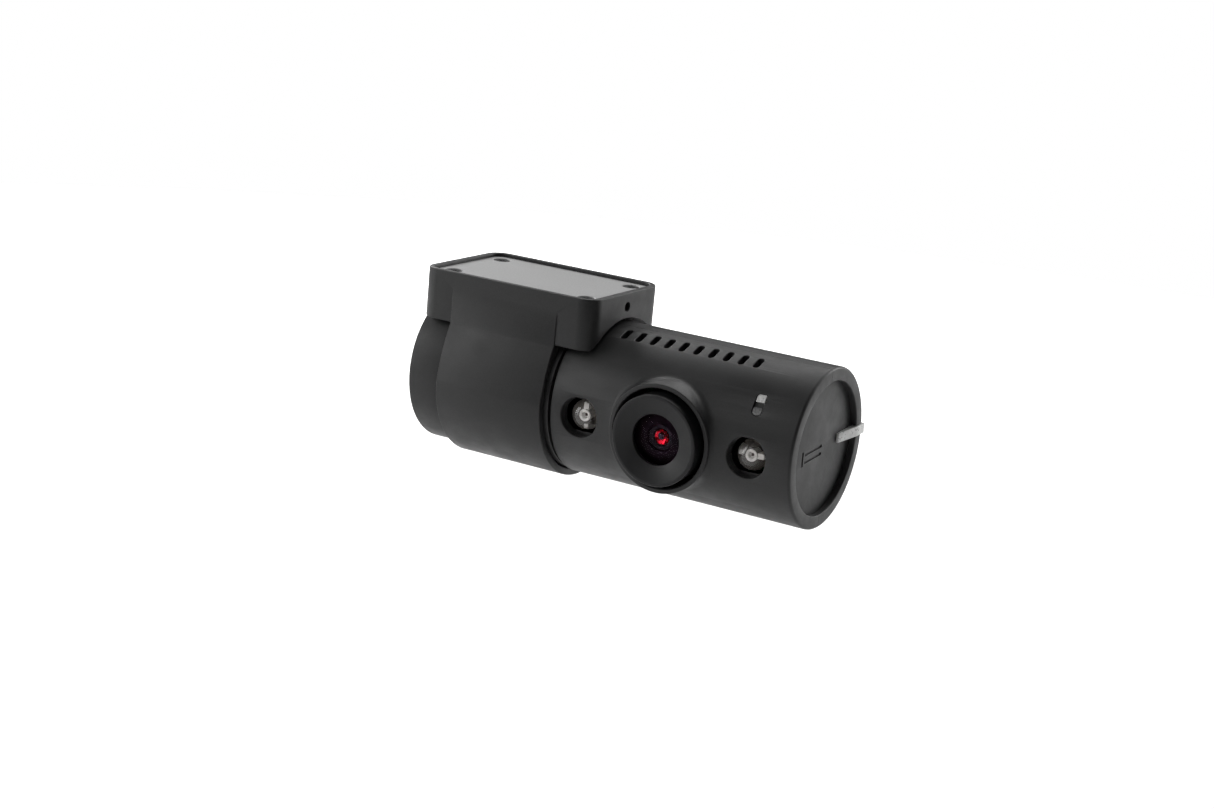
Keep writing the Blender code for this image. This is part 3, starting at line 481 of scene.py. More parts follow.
class Nodes:
    """A short way to wire a material's nodes."""

    def __init__(self, name):
        self.material = bpy.data.materials.new(name)
        self.material.use_nodes = True
        self.tree = self.material.node_tree
        self.shader = self.tree.nodes["Principled BSDF"]
        self.where = self.tree.nodes.new("ShaderNodeTexCoord").outputs["Object"]

    def set(self, **sockets):
        for name, value in sockets.items():
            self.shader.inputs[name.replace("_", " ")].default_value = value

    def noise(self, scale, detail=3.0, roughness=0.6, stretch=(1.0, 1.0, 1.0)):
        mapping = self.tree.nodes.new("ShaderNodeMapping")
        mapping.inputs["Scale"].default_value = stretch
        self.tree.links.new(self.where, mapping.inputs["Vector"])
        node = self.tree.nodes.new("ShaderNodeTexNoise")
        node.inputs["Scale"].default_value = scale
        node.inputs["Detail"].default_value = detail
        node.inputs["Roughness"].default_value = roughness
        self.tree.links.new(mapping.outputs["Vector"], node.inputs["Vector"])
        return node.outputs["Fac"]

    def ramp(self, source, low, high, start=0.35, end=0.65):
        """A value between start and end brought to a number between low and high."""
        node = self.tree.nodes.new("ShaderNodeMapRange")
        node.inputs["From Min"].default_value = start
        node.inputs["From Max"].default_value = end
        node.inputs["To Min"].default_value = low
        node.inputs["To Max"].default_value = high
        self.tree.links.new(source, node.inputs["Value"])
        return node.outputs["Result"]

    def blend(self, factor, first, second):
        """Mixes two colours; each is a colour or another node's output."""
        node = self.tree.nodes.new("ShaderNodeMix")
        node.data_type = "RGBA"
        self.tree.links.new(factor, node.inputs["Factor"])
        for value, socket in ((first, node.inputs[6]), (second, node.inputs[7])):
            if isinstance(value, bpy.types.NodeSocket):
                self.tree.links.new(value, socket)
            else:
                socket.default_value = (*value, 1.0)
        return node.outputs[2]

    def link(self, source, socket):
        self.tree.links.new(source, self.shader.inputs[socket])

    def bump(self, source, strength, distance):
        node = self.tree.nodes.new("ShaderNodeBump")
        node.inputs["Strength"].default_value = strength
        node.inputs["Distance"].default_value = distance
        self.tree.links.new(source, node.inputs["Height"])
        if self.shader.inputs["Normal"].is_linked:
            self.tree.links.new(self.shader.inputs["Normal"].links[0].from_socket, node.inputs["Normal"])
        self.tree.links.new(node.outputs["Normal"], self.shader.inputs["Normal"])

    def edges(self, radius):
        """1 on the piece's edges and 0 on its open surfaces, for the lighter tone of a rubbed edge and of a
        painted highlight along it.
        """
        node = self.tree.nodes.new("ShaderNodeBevel")
        node.samples = 4
        node.inputs["Radius"].default_value = radius
        geometry = self.tree.nodes.new("ShaderNodeNewGeometry")
        dot = self.tree.nodes.new("ShaderNodeVectorMath")
        dot.operation = "DOT_PRODUCT"
        self.tree.links.new(node.outputs["Normal"], dot.inputs[0])
        self.tree.links.new(geometry.outputs["Normal"], dot.inputs[1])
        return self.ramp(dot.outputs["Value"], 1.0, 0.0, 0.80, 0.99)


def shade(colour, factor):
    return tuple(min(1.0, channel * factor) for channel in colour)


def moulded(name, colour, roughness, grain=4200.0, depth=0.35, edge_wear_and_highlight=0.0, specular=0.32, mottle=0.12):
    """Moulded plastic with a fine spark-eroded grain, uneven sheen and edges lightened partly by rubbed
    wear and partly by a painted highlight.
    """
    n = Nodes(name)
    n.set(Specular_IOR_Level=specular)
    cloud = n.noise(130.0, 4.0, 0.55)
    fine = n.noise(grain, 2.0, 0.7)
    tone = n.blend(n.ramp(cloud, 0.0, 1.0), shade(colour, 1 - mottle), shade(colour, 1 + mottle))
    tone = n.blend(n.ramp(fine, 0.0, 0.55), tone, shade(colour, 1.35))
    # The lighter edge tone is partly rubbed wear, in scuffs, and partly a painted highlight all along the
    # edges
    if edge_wear_and_highlight:
        scuffs_and_highlight = n.ramp(n.noise(900.0, 5.0, 0.7), 0.5 * edge_wear_and_highlight, edge_wear_and_highlight, 0.42, 0.7)
        rubbed_edge_and_highlight = n.tree.nodes.new("ShaderNodeMath")
        rubbed_edge_and_highlight.operation = "MULTIPLY"
        n.tree.links.new(n.edges(0.00012), rubbed_edge_and_highlight.inputs[0])
        n.tree.links.new(scuffs_and_highlight, rubbed_edge_and_highlight.inputs[1])
        tone = n.blend(rubbed_edge_and_highlight.outputs["Value"], tone, shade(colour, 4.0))
    n.link(tone, "Base Color")
    n.link(n.ramp(n.noise(260.0, 5.0, 0.65), roughness - mottle / 2, roughness + mottle / 2), "Roughness")
    n.bump(fine, depth, 0.00003)
    n.bump(n.noise(35.0, 1.0, 0.4), 0.05, 0.0004)
    return n.material


def metal(name, colour, roughness, stretch=(1.0, 1.0, 1.0), scale=2500.0, depth=0.2):
    """Metal with fine drawn or tumbled marks and a dulled film."""
    n = Nodes(name)
    n.set(Metallic=1.0)
    marks = n.noise(scale, 4.0, 0.7, stretch)
    film = n.noise(450.0, 4.0, 0.6)
    n.link(n.blend(n.ramp(film, 0.0, 1.0), shade(colour, 0.82), colour), "Base Color")
    n.link(n.ramp(marks, roughness - 0.08, roughness + 0.10), "Roughness")
    n.bump(marks, depth, 0.00001)
    return n.material


def glass(name, colour, roughness, ior, smears=0.03, clear=1.0):
    """Clear or tinted solid, with faint smears that change its gloss."""
    n = Nodes(name)
    n.set(Transmission_Weight=clear, IOR=ior)
    tint = n.noise(500.0, 2.0, 0.5)
    n.link(n.blend(n.ramp(tint, 0.0, 1.0), shade(colour, 0.94), colour), "Base Color")
    n.link(n.ramp(n.noise(700.0, 4.0, 0.6), roughness, roughness + smears, 0.45, 0.75), "Roughness")
    n.bump(n.noise(90.0, 1.0, 0.4), 0.02, 0.0001)
    return n.material


def milky(name, colour, roughness, transmission, scatter):
    """Frosted light-guide plastic."""
    n = Nodes(name)
    n.set(Transmission_Weight=transmission, Subsurface_Weight=scatter, IOR=1.49)
    n.set(Subsurface_Radius=(0.0008,) * 3, Subsurface_Scale=1.0)
    cloud = n.noise(650.0, 3.0, 0.6)
    n.link(n.blend(n.ramp(cloud, 0.0, 1.0), shade(colour, 0.88), colour), "Base Color")
    n.link(n.ramp(n.noise(1500.0, 3.0, 0.6), roughness - 0.05, roughness + 0.08), "Roughness")
    n.bump(cloud, 0.1, 0.00002)
    return n.material


def board_finish(name):
    """Green solder mask over copper tracks."""
    n = Nodes(name)
    n.set(Specular_IOR_Level=0.6)
    tracks = n.tree.nodes.new("ShaderNodeTexVoronoi")
    tracks.feature = "DISTANCE_TO_EDGE"
    tracks.inputs["Scale"].default_value = 420.0
    n.tree.links.new(n.where, tracks.inputs["Vector"])
    line = n.ramp(tracks.outputs["Distance"], 1.0, 0.0, 0.03, 0.06)
    n.link(n.blend(line, (0.012, 0.085, 0.040), (0.03, 0.17, 0.07)), "Base Color")
    n.link(n.ramp(n.noise(900.0), 0.28, 0.42), "Roughness")
    n.bump(line, 0.4, 0.00002)
    return n.material


CHARCOAL = (0.0145, 0.0145, 0.0148)
FINISH = {
    "shell": moulded("shell_plastic", CHARCOAL, 0.50, edge_wear_and_highlight=0.7),
    "bracket": moulded("bracket_plastic", shade(CHARCOAL, 0.92), 0.50, edge_wear_and_highlight=0.7),
    "bezel": moulded(
        "bezel_plastic", (0.0075, 0.0075, 0.008), 0.42, grain=6000.0, depth=0.15, edge_wear_and_highlight=0.5, specular=0.25,
    ),
    "bush": moulded("bush_plastic", (0.020, 0.020, 0.020), 0.35, grain=2500.0, depth=0.1),
    "plate": moulded("plate_grey", (0.28, 0.28, 0.28), 0.45, grain=3500.0, depth=0.25, mottle=0.03),
    "screw": moulded(
        "screw_black_oxide", (0.012, 0.012, 0.013), 0.55, grain=5000.0, depth=0.2, specular=0.12,
    ),
    "glass": glass("coated_glass", (0.84, 0.72, 0.86), 0.01, 1.08, smears=0.02),
    "dark_glass": moulded(
        "coated_inner_glass", (0.012, 0.004, 0.008), 0.12, grain=900.0, depth=0.05, specular=0.5,
    ),
    "red_glass": metal("red_coating", (0.92, 0.028, 0.045), 0.22, depth=0.05),
    "barrel": moulded("barrel_metal", (0.0075, 0.003, 0.006), 0.5, grain=3000.0, depth=0.2, specular=0.12),
    "epoxy": glass("clear_epoxy", (0.96, 0.93, 0.90), 0.02, 1.5, clear=0.97),
    "lead": moulded("tinned_lead", (0.92, 0.91, 0.88), 0.30, grain=3000.0, depth=0.1, specular=0.8),
    "reflector": moulded("lamp_reflector", (0.12, 0.108, 0.095), 0.45, grain=1500.0, depth=0.3),
    "gold": metal("contact_gold", (0.86, 0.62, 0.24), 0.25, stretch=(0.2, 1.0, 1.0)),
    "guide": milky("light_guide", (0.66, 0.66, 0.65), 0.30, 0.25, 0.3),
    "smoked": milky("smoked_window", (0.13, 0.13, 0.13), 0.25, 0.2, 0.1),
    "board": board_finish("circuit_board"),
    "chip": moulded("chip_black", (0.018, 0.018, 0.019), 0.5, grain=5000.0),
    "ceramic": moulded("white_ceramic", (0.72, 0.70, 0.62), 0.45, grain=4000.0, depth=0.1),
    "aluminium": metal("heat_aluminium", (0.62, 0.63, 0.64), 0.42, scale=3800.0),
    "pad": moulded("thermal_pad_silicone", (0.16, 0.24, 0.36), 0.75, grain=1800.0),
    "lead_jacket": moulded("lead_jacket", (0.018, 0.018, 0.018), 0.6, grain=2600.0),
    "die": moulded("lamp_die", (0.05, 0.03, 0.03), 0.3, grain=3000.0),
}


# Bracket ------------------------------------------------------------------------------


def collar_outline():
    """Round below the axis, slightly flattened above it, then straight up into the block."""
    points = []
    lower_steps = 96
    for k in range(lower_steps + 1):
        turn = math.pi * (1 + k / lower_steps)
        points.append((COLLAR_R * math.cos(turn), COLLAR_R * math.sin(turn)))
    start, middle, end = Vector((COLLAR_R, 0.0)), Vector(COLLAR_SIDE_MID), Vector(COLLAR_CREST)
    bend = 2 * middle - (start + end) / 2
    side = []
    side_steps = 24
    for k in range(1, side_steps + 1):
        t = k / side_steps
        side.append((1 - t) ** 2 * start + 2 * t * (1 - t) * bend + t ** 2 * end)
    side.append(Vector((COLLAR_CREST[0], COLLAR_TOP - 2.5)))
    side.append(Vector((BLOCK_HALF_Y - 0.1, COLLAR_TOP)))
    points += [(p.x, p.y) for p in side]
    points += [(-p.x, p.y) for p in reversed(side)]
    return points


def block_mesh():
    """The block with its rim and the pocket that the plate sits in, all edges rounded."""
    outer = round_rectangle(BLOCK_HALF_X, BLOCK_HALF_Y, BLOCK_CORNER_R)
    floor = AXIS_DROP - PLATE_T - PLATE_BED_GAP
    quarter = [math.pi / 2 * k / ARC_STEPS for k in range(ARC_STEPS + 1)]
    e = BLOCK_EDGE
    levels = [(BLOCK_BOTTOM + e * (1 - math.sin(t)), e * (1 - math.cos(t))) for t in reversed(quarter)]
    levels += [(BLOCK_TOP - e * (1 - math.sin(t)), e * (1 - math.cos(t))) for t in quarter]
    levels += [(BLOCK_TOP - e * (1 - math.cos(t)), RIM_W - e * (1 - math.sin(t))) for t in quarter]
    levels += [(floor, RIM_W)]
    return skin("block", [[place("z", z, a, b) for a, b in inset(outer, cut)] for z, cut in levels])


def make_bracket():
    arch = [(-THROUGH, 0.0), (-THROUGH, ARCH_R), (THROUGH, ARCH_R), (THROUGH, 0.0)]
    flare_r = COLLAR_BORE_R + COLLAR_FLARE
    bore = soften([
        (-THROUGH, 0.0), (-THROUGH, flare_r), (COLLAR_LEFT, flare_r),
        (COLLAR_LEFT + COLLAR_FLARE, COLLAR_BORE_R), (COLLAR_RIGHT - COLLAR_FLARE, COLLAR_BORE_R),
        (COLLAR_RIGHT, flare_r), (THROUGH, flare_r), (THROUGH, 0.0),
    ])
    collar = slab("collar", collar_outline(), COLLAR_LEFT, COLLAR_RIGHT, "x", SOFT_EDGE)
    pin_mouth_r = PIN_HOLE_R + PIN_HOLE_EDGE
    pin = soften([
        (BLOCK_HALF_X - PIN_HOLE_DEPTH, 0.0), (BLOCK_HALF_X - PIN_HOLE_DEPTH, PIN_HOLE_R),
        (BLOCK_HALF_X - PIN_HOLE_EDGE, PIN_HOLE_R), (BLOCK_HALF_X, pin_mouth_r),
        (BLOCK_HALF_X + PAST, pin_mouth_r), (BLOCK_HALF_X + PAST, 0.0),
    ])
    steps = [
        ("DIFFERENCE", turned("arch", arch)),
        ("UNION", collar),
        ("DIFFERENCE", turned("bore", bore)),
        ("DIFFERENCE", turned("pin_hole", pin, "x", (0.0, PIN_HOLE_Z), SCREW_ROUND)),
    ]
    mesh = carve(block_mesh(), *steps)
    replaced = ["bracket_housing"]
    piece("bracket_housing_moulding", mesh, FINISH["bracket"], "bracket", "bracket_plastic", replaced)

    half_x = BLOCK_HALF_X - RIM_W - PLATE_GAP
    half_y = BLOCK_HALF_Y - RIM_W - PLATE_GAP
    outline = round_rectangle(half_x, half_y, BLOCK_CORNER_R - RIM_W)
    plate = slab("plate", outline, AXIS_DROP - PLATE_T, AXIS_DROP, "z", PLATE_EDGE)
    places = [(x, y) for x in (-PLATE_SCREW_X, PLATE_SCREW_X) for y in (-PLATE_SCREW_Y, PLATE_SCREW_Y)]
    mouth_r = PLATE_HOLE_R + PLATE_EDGE
    seat = soften([
        (AXIS_DROP + PAST, 0.0), (AXIS_DROP + PAST, mouth_r), (AXIS_DROP, mouth_r),
        (AXIS_DROP - PLATE_EDGE, PLATE_HOLE_R), (AXIS_DROP - PLATE_HOLE_DEPTH, PLATE_HOLE_R),
        (AXIS_DROP - PLATE_HOLE_DEPTH, 0.0),
    ])
    seats = [("DIFFERENCE", turned("seat", seat, "z", centre, SEAT_ROUND)) for centre in places]
    mesh = carve(plate, *seats)
    piece("mount_plate_sheet", mesh, FINISH["plate"], "bracket", "plate_grey", ["mount_plate"])
    head_top = AXIS_DROP - PLATE_SCREW_SINK
    for number, centre in enumerate(places, start=1):
        make_screw(f"plate_screw_{number}", "z", head_top, centre, "bracket", PLATE_SCREW)

    bush = soften([
        (BUSH_LEFT, BUSH_INNER_R), (BUSH_LEFT, BUSH_OUTER_R), (BUSH_RIGHT, BUSH_OUTER_R, BUSH_EDGE),
        (BUSH_RIGHT, BUSH_INNER_R, BUSH_EDGE),
    ])
    mesh = turned("bush", bush)
    piece("friction_bush_sleeve", mesh, FINISH["bush"], "bracket", "bush_plastic", ["friction_bush"])


def make_screw(node, axis, head_top, centre, body, size, direction=1):
    """A cross-recess screw with a domed head. direction is +1 where its head faces along the axis."""
    head_r, head_t, shank_r, length = size
    under = head_top - head_t
    profile = [
        (head_top, 0.0), (head_top, head_r * 0.5), (head_top - 0.04, head_r * 0.8),
        (head_top - head_t * 0.15, head_r * 0.93), (head_top - head_t * 0.45, head_r),
        (under, head_r), (under, shank_r), (head_top - length + shank_r, shank_r), (head_top - length, 0.0),
    ]
    profile = [(direction * along, r) for along, r in profile]
    arm, half, depth = head_r * 0.58, head_r * 0.13, head_t * 0.55
    cross = [
        (arm, half), (half, half), (half, arm), (-half, arm), (-half, half), (-arm, half),
        (-arm, -half), (-half, -half), (-half, -arm), (half, -arm), (half, -half), (arm, -half),
    ]
    rings = []
    for along, scale in ((head_top - depth, 0.55), (head_top + 0.02, 1.0), (head_top + 0.5, 1.0)):
        points = [(centre[0] + a * scale, centre[1] + b * scale) for a, b in cross]
        rings.append([place(axis, direction * along, a, b) for a, b in points])
    mesh = carve(turned(node, profile, axis, centre, SCREW_ROUND), ("DIFFERENCE", skin("cross", rings)))
    piece(f"{node}_body", mesh, FINISH["screw"], body, "screw_steel", [node])


# Tube shells --------------------------------------------------------------------------


def shell_profile():
    body_in = TUBE_R - TUBE_WALL
    neck_in = NECK_R - NECK_WALL
    rib_in = DISC_R - RIB_DEPTH
    lip = TUBE_RIGHT - DISC_RECESS
    rib = lip - DISC_T - DISC_GAP
    return soften([
        (TUBE_RIGHT, RIM_OPENING_R, SOFT_EDGE), (TUBE_RIGHT, TUBE_R, RIM_EDGE),
        (SHOULDER_X, TUBE_R, SHOULDER_EDGE), (SHOULDER_X, NECK_R), (NECK_LEFT, NECK_R),
        (NECK_LEFT, neck_in), (SHOULDER_X + TUBE_WALL, neck_in), (SHOULDER_X + TUBE_WALL, body_in),
        (rib - RIB_T, body_in), (rib - RIB_T, rib_in), (rib, rib_in), (rib, body_in),
        (lip, body_in), (lip, RIM_OPENING_R),
    ])


def lens_boss():
    """The boss round the lens, with a rolling-ball fillet at its foot on the tube.

    Beside the lens the tube reaches almost to the boss's front, so the ball is smaller there.
    """
    arc_steps = 10
    columns = []
    for k in range(ROUND):
        turn = 2 * math.pi * (k + RING_PHASE["y"]) / ROUND
        rise_2 = math.sin(turn) ** 2
        square = 1 - rise_2
        linear = 2 * (TUBE_R - BOSS_R * rise_2)
        constant = TUBE_R ** 2 - BOSS_R ** 2 * rise_2 - BOSS_FILLET_TOP ** 2
        ball = -constant / linear
        for _ in range(4):
            ball = -(constant + square * ball ** 2) / linear
        ball = min(ball, BOSS_FILLET_R)
        away = Vector((math.cos(turn), 0.0, math.sin(turn)))
        reach = (BOSS_R + ball) * away
        centre = Vector((reach.x, -math.sqrt((TUBE_R + ball) ** 2 - reach.z ** 2), reach.z))
        to_tube = -Vector((0.0, centre.y, centre.z)).normalized()
        # The first point lies on the boss's face, where the bore removes it
        points = [Vector((away.x * BOSS_R * 0.9, -BOSS_OUT, away.z * BOSS_R * 0.9))]
        for step in range(ARC_STEPS + 1):
            lean = math.pi / 2 * step / ARC_STEPS
            radius = BOSS_R - SOFT_EDGE * (1 - math.sin(lean))
            sink = SOFT_EDGE * (1 - math.cos(lean))
            points.append(Vector((away.x * radius, sink - BOSS_OUT, away.z * radius)))
        for step in range(arc_steps + 1):
            points.append(centre + ball * (-away).slerp(to_tube, step / arc_steps))
        points[-1] += BOSS_SINK * to_tube
        points.append(Vector((points[-1].x, -BOSS_IN, points[-1].z * BOSS_ROOT_TAPER)))
        columns.append([point + Vector((LENS_X, 0.0, 0.0)) for point in points])
    return skin("lens_boss", list(zip(*columns)))


def lamp_places():
    return (("left", LENS_X - LED_OFFSET_X), ("right", LENS_X + LED_OFFSET_X))


def round_the_tube(angle, x):
    """Takes a shape from the front of the tube to an angle above it and a place along X."""
    return Matrix.Rotation(-angle, 4, "X") @ Matrix.Translation((x, 0.0, 0.0))


def vent_outline(grow):
    return pill(VENT_LENGTH / 2 - VENT_INSET + grow, VENT_WIDTH / 2 - VENT_INSET + grow, 8)


def window_outline(grow):
    return pill(WINDOW_LENGTH / 2 + grow, WINDOW_WIDTH / 2 + grow)


def lamp_outline(grow):
    return disc_outline(LED_MOUTH_R + grow)


def screw_seat_outline(grow):
    return disc_outline(SHELL_SEAT_R + grow, SEAT_ROUND)


def make_front_shell():
    seam = SEAM_Y - SEAM_GAP / 2
    half = box_mesh("front_half", (HALF_LEFT, -THROUGH, -THROUGH), (HALF_RIGHT, seam, THROUGH))
    bore_mouth_r = BOSS_BORE_R + SOFT_EDGE
    bore_out = BOSS_OUT + 3 * PAST
    bore = soften([
        (0.0, 0.0), (0.0, BOSS_BORE_R), (BOSS_OUT - SOFT_EDGE, BOSS_BORE_R), (BOSS_OUT, bore_mouth_r),
        (bore_out, bore_mouth_r), (bore_out, 0.0),
    ])
    steps = [
        ("INTERSECT", half),
        ("UNION", lens_boss()),
        ("DIFFERENCE", turned("lens_bore", bore, "y", (LENS_X, 0.0), BORE_ROUND)),
    ]
    body_hole_r = LED_BODY_R + LED_BODY_GAP
    through = [
        (LED_SEAT_IN, 0.0), (LED_SEAT_IN, body_hole_r), (LED_LEDGE_OUT, body_hole_r),
        (LED_LEDGE_OUT, LED_LEDGE_R), (LED_SEAT_OUT, LED_MOUTH_R), (LED_SEAT_OUT, 0.0),
    ]
    for _, x in lamp_places():
        steps.append(("DIFFERENCE", turned("lamp_seat", through, "y", (x, 0.0), HOLE_ROUND)))
        opening = mouth("lamp_mouth", lamp_outline, LED_MOUTH_DEPTH, LED_MOUTH_EDGE)
        steps.append(("DIFFERENCE", (opening, Matrix.Translation((x, 0.0, 0.0)))))
    for k in range(VENT_COUNT):
        vent = mouth("vent", vent_outline, VENT_DEPTH, VENT_EDGE)
        steps.append(("DIFFERENCE", (vent, round_the_tube(VENT_ANGLE, VENT_LAST_X - k * VENT_PITCH))))
    recess = mouth("window", window_outline, WINDOW_DEPTH + WINDOW_CUT_PAST, WINDOW_EDGE)
    steps.append(("DIFFERENCE", (recess, round_the_tube(WINDOW_ANGLE, WINDOW_X))))
    shell = carve(turned("front_shell", shell_profile()), *steps)
    piece("front_shell_moulding", shell, FINISH["shell"], "camera_tube", "shell_plastic", ["front_shell"])


def make_rear_shell():
    seam = SEAM_Y + SEAM_GAP / 2
    half = box_mesh("rear_half", (HALF_LEFT, seam, -THROUGH), (HALF_RIGHT, THROUGH, THROUGH))
    notch_half = GUIDE_HALF_W + NOTCH_GAP
    notch_outline = rectangle(NOTCH_Y[0], GUIDE_Z - notch_half, NOTCH_Y[1], GUIDE_Z + notch_half)
    notch = slab("notch", notch_outline, TUBE_RIGHT - DISC_RECESS - 0.02, TUBE_RIGHT + PAST, "x")
    steps = [("INTERSECT", half), ("DIFFERENCE", notch)]
    screw_places = (("left", LENS_X - SHELL_SCREW_OFFSET_X), ("right", LENS_X + SHELL_SCREW_OFFSET_X))
    for _, x in screw_places:
        seat = mouth("screw_seat", screw_seat_outline, SHELL_SEAT_DEPTH, SHELL_SEAT_EDGE)
        where = Matrix.Translation((x, 0.0, 0.0)) @ Matrix.Rotation(math.pi, 4, "Z")
        steps.append(("DIFFERENCE", (seat, where)))
    shell = carve(turned("rear_shell", shell_profile()), *steps)
    piece("rear_shell_moulding", shell, FINISH["shell"], "camera_tube", "shell_plastic", ["rear_shell"])
    # A lip inside the seam, so that no light passes through its gap
    for name, side in (("top", 1), ("bottom", -1)):
        low, high = sorted((side * (TUBE_R - SEAM_LIP_IN), side * (TUBE_R - SEAM_LIP_OUT)))
        outline = rectangle(SEAM_Y - SEAM_LIP_HALF_W, low, SEAM_Y + SEAM_LIP_HALF_W, high)
        lip = slab("lip", outline, SEAM_LIP_LEFT, SEAM_LIP_RIGHT, "x", SEAM_LIP_EDGE)
        piece(f"seam_lip_{name}", lip, FINISH["shell"], "camera_tube", "shell_plastic")
    for side, x in screw_places:
        head_top = TUBE_R - SHELL_SCREW_SINK
        make_screw(f"shell_screw_{side}", "y", head_top, (x, 0.0), "camera_tube", SHELL_SCREW, -1)


# Tube ends ----------------------------------------------------------------------------


def make_right_end():
    disc_back = DISC_FACE - DISC_T
    disc = soften([(disc_back, 0.0), (disc_back, DISC_R), (DISC_FACE, DISC_R, DISC_EDGE), (DISC_FACE, 0.0)])
    cuts = [("groove", INDEX_GROOVE, INDEX_GROOVE_DEPTH), ("slot", GUIDE_SLOT, GUIDE_SLOT_DEPTH)]
    for low in LINE_GROOVE_Z:
        corners = (LINE_GROOVE_Y[0], low, LINE_GROOVE_Y[1], low + LINE_GROOVE_W)
        cuts.append(("line", corners, LINE_GROOVE_DEPTH))
    steps = []
    for name, corners, depth in cuts:
        cutter = slab(name, rectangle(*corners), DISC_FACE - depth, DISC_FACE + PAST, "x")
        steps.append(("DIFFERENCE", cutter))
    mesh = carve(turned("disc", disc), *steps)
    piece("end_disc_moulding", mesh, FINISH["shell"], "camera_tube", "shell_plastic", ["end_disc"])

    back = DISC_FACE + GUIDE_LIFT
    front = TUBE_RIGHT + GUIDE_PROUD
    ramp = soften([
        (back, GUIDE_INNER_Y), (back, GUIDE_OUTER_Y), (front, GUIDE_OUTER_Y, 0.2),
        (front, GUIDE_OUTER_Y - GUIDE_HOOK, 0.6), (DISC_FACE + GUIDE_THIN, GUIDE_INNER_Y, 0.15),
    ])
    ramp.reverse()
    bar = slab("guide", ramp, GUIDE_Z - GUIDE_HALF_W, GUIDE_Z + GUIDE_HALF_W, "z", GUIDE_EDGE)
    piece("end_light_guide_bar", bar, FINISH["guide"], "camera_tube", "light_guide", ["end_light_guide"])


def make_left_end():
    wall_right = NECK_LEFT - CAP_GAP
    skirt_right = COLLAR_LEFT - 0.35
    skirt_in = NECK_R + CAP_GAP
    sleeve_right = TUBE_LEFT + PLUG_RECESS_DEPTH
    sleeve_out = PLUG_RECESS_R + PLUG_SLEEVE_T
    profile = soften([
        (TUBE_LEFT, PLUG_RECESS_R, 0.2), (TUBE_LEFT, TUBE_R, 0.35), (skirt_right, TUBE_R, 0.15),
        (skirt_right, skirt_in), (wall_right, skirt_in), (wall_right, sleeve_out),
        (sleeve_right, sleeve_out), (sleeve_right, PLUG_RECESS_R),
    ])
    mouth_r = CAP_SEAT_R + CAP_SEAT_EDGE
    seat = soften([
        (TUBE_LEFT - PAST, 0.0), (TUBE_LEFT - PAST, mouth_r), (TUBE_LEFT, mouth_r),
        (TUBE_LEFT + CAP_SEAT_EDGE, CAP_SEAT_R), (TUBE_LEFT + CAP_SEAT_DEPTH, CAP_SEAT_R),
        (TUBE_LEFT + CAP_SEAT_DEPTH, 0.0),
    ])
    places = ((-CAP_SCREW_Y, 0.0), (CAP_SCREW_Y, 0.0))
    seats = [("DIFFERENCE", turned("cap_seat", seat, "x", centre, SEAT_ROUND)) for centre in places]
    mesh = carve(turned("cap", profile), *seats)
    piece("left_end_cap_moulding", mesh, FINISH["shell"], "camera_tube", "shell_plastic", ["left_end_cap"])
    for number, centre in enumerate(places, start=1):
        head_top = -TUBE_LEFT - CAP_SCREW_SINK
        make_screw(f"end_cap_screw_{number}", "x", head_top, centre, "camera_tube", CAP_SCREW, -1)


# Lens ---------------------------------------------------------------------------------


def cap_points(edge_at, apex_at, edge_r, steps=16):
    """Points of a shallow dome from the axis out to its edge, as (along, radius)."""
    radii = [edge_r * k / steps for k in range(steps + 1)]
    return [(apex_at + (edge_at - apex_at) * (r / edge_r) ** 2, r) for r in radii]


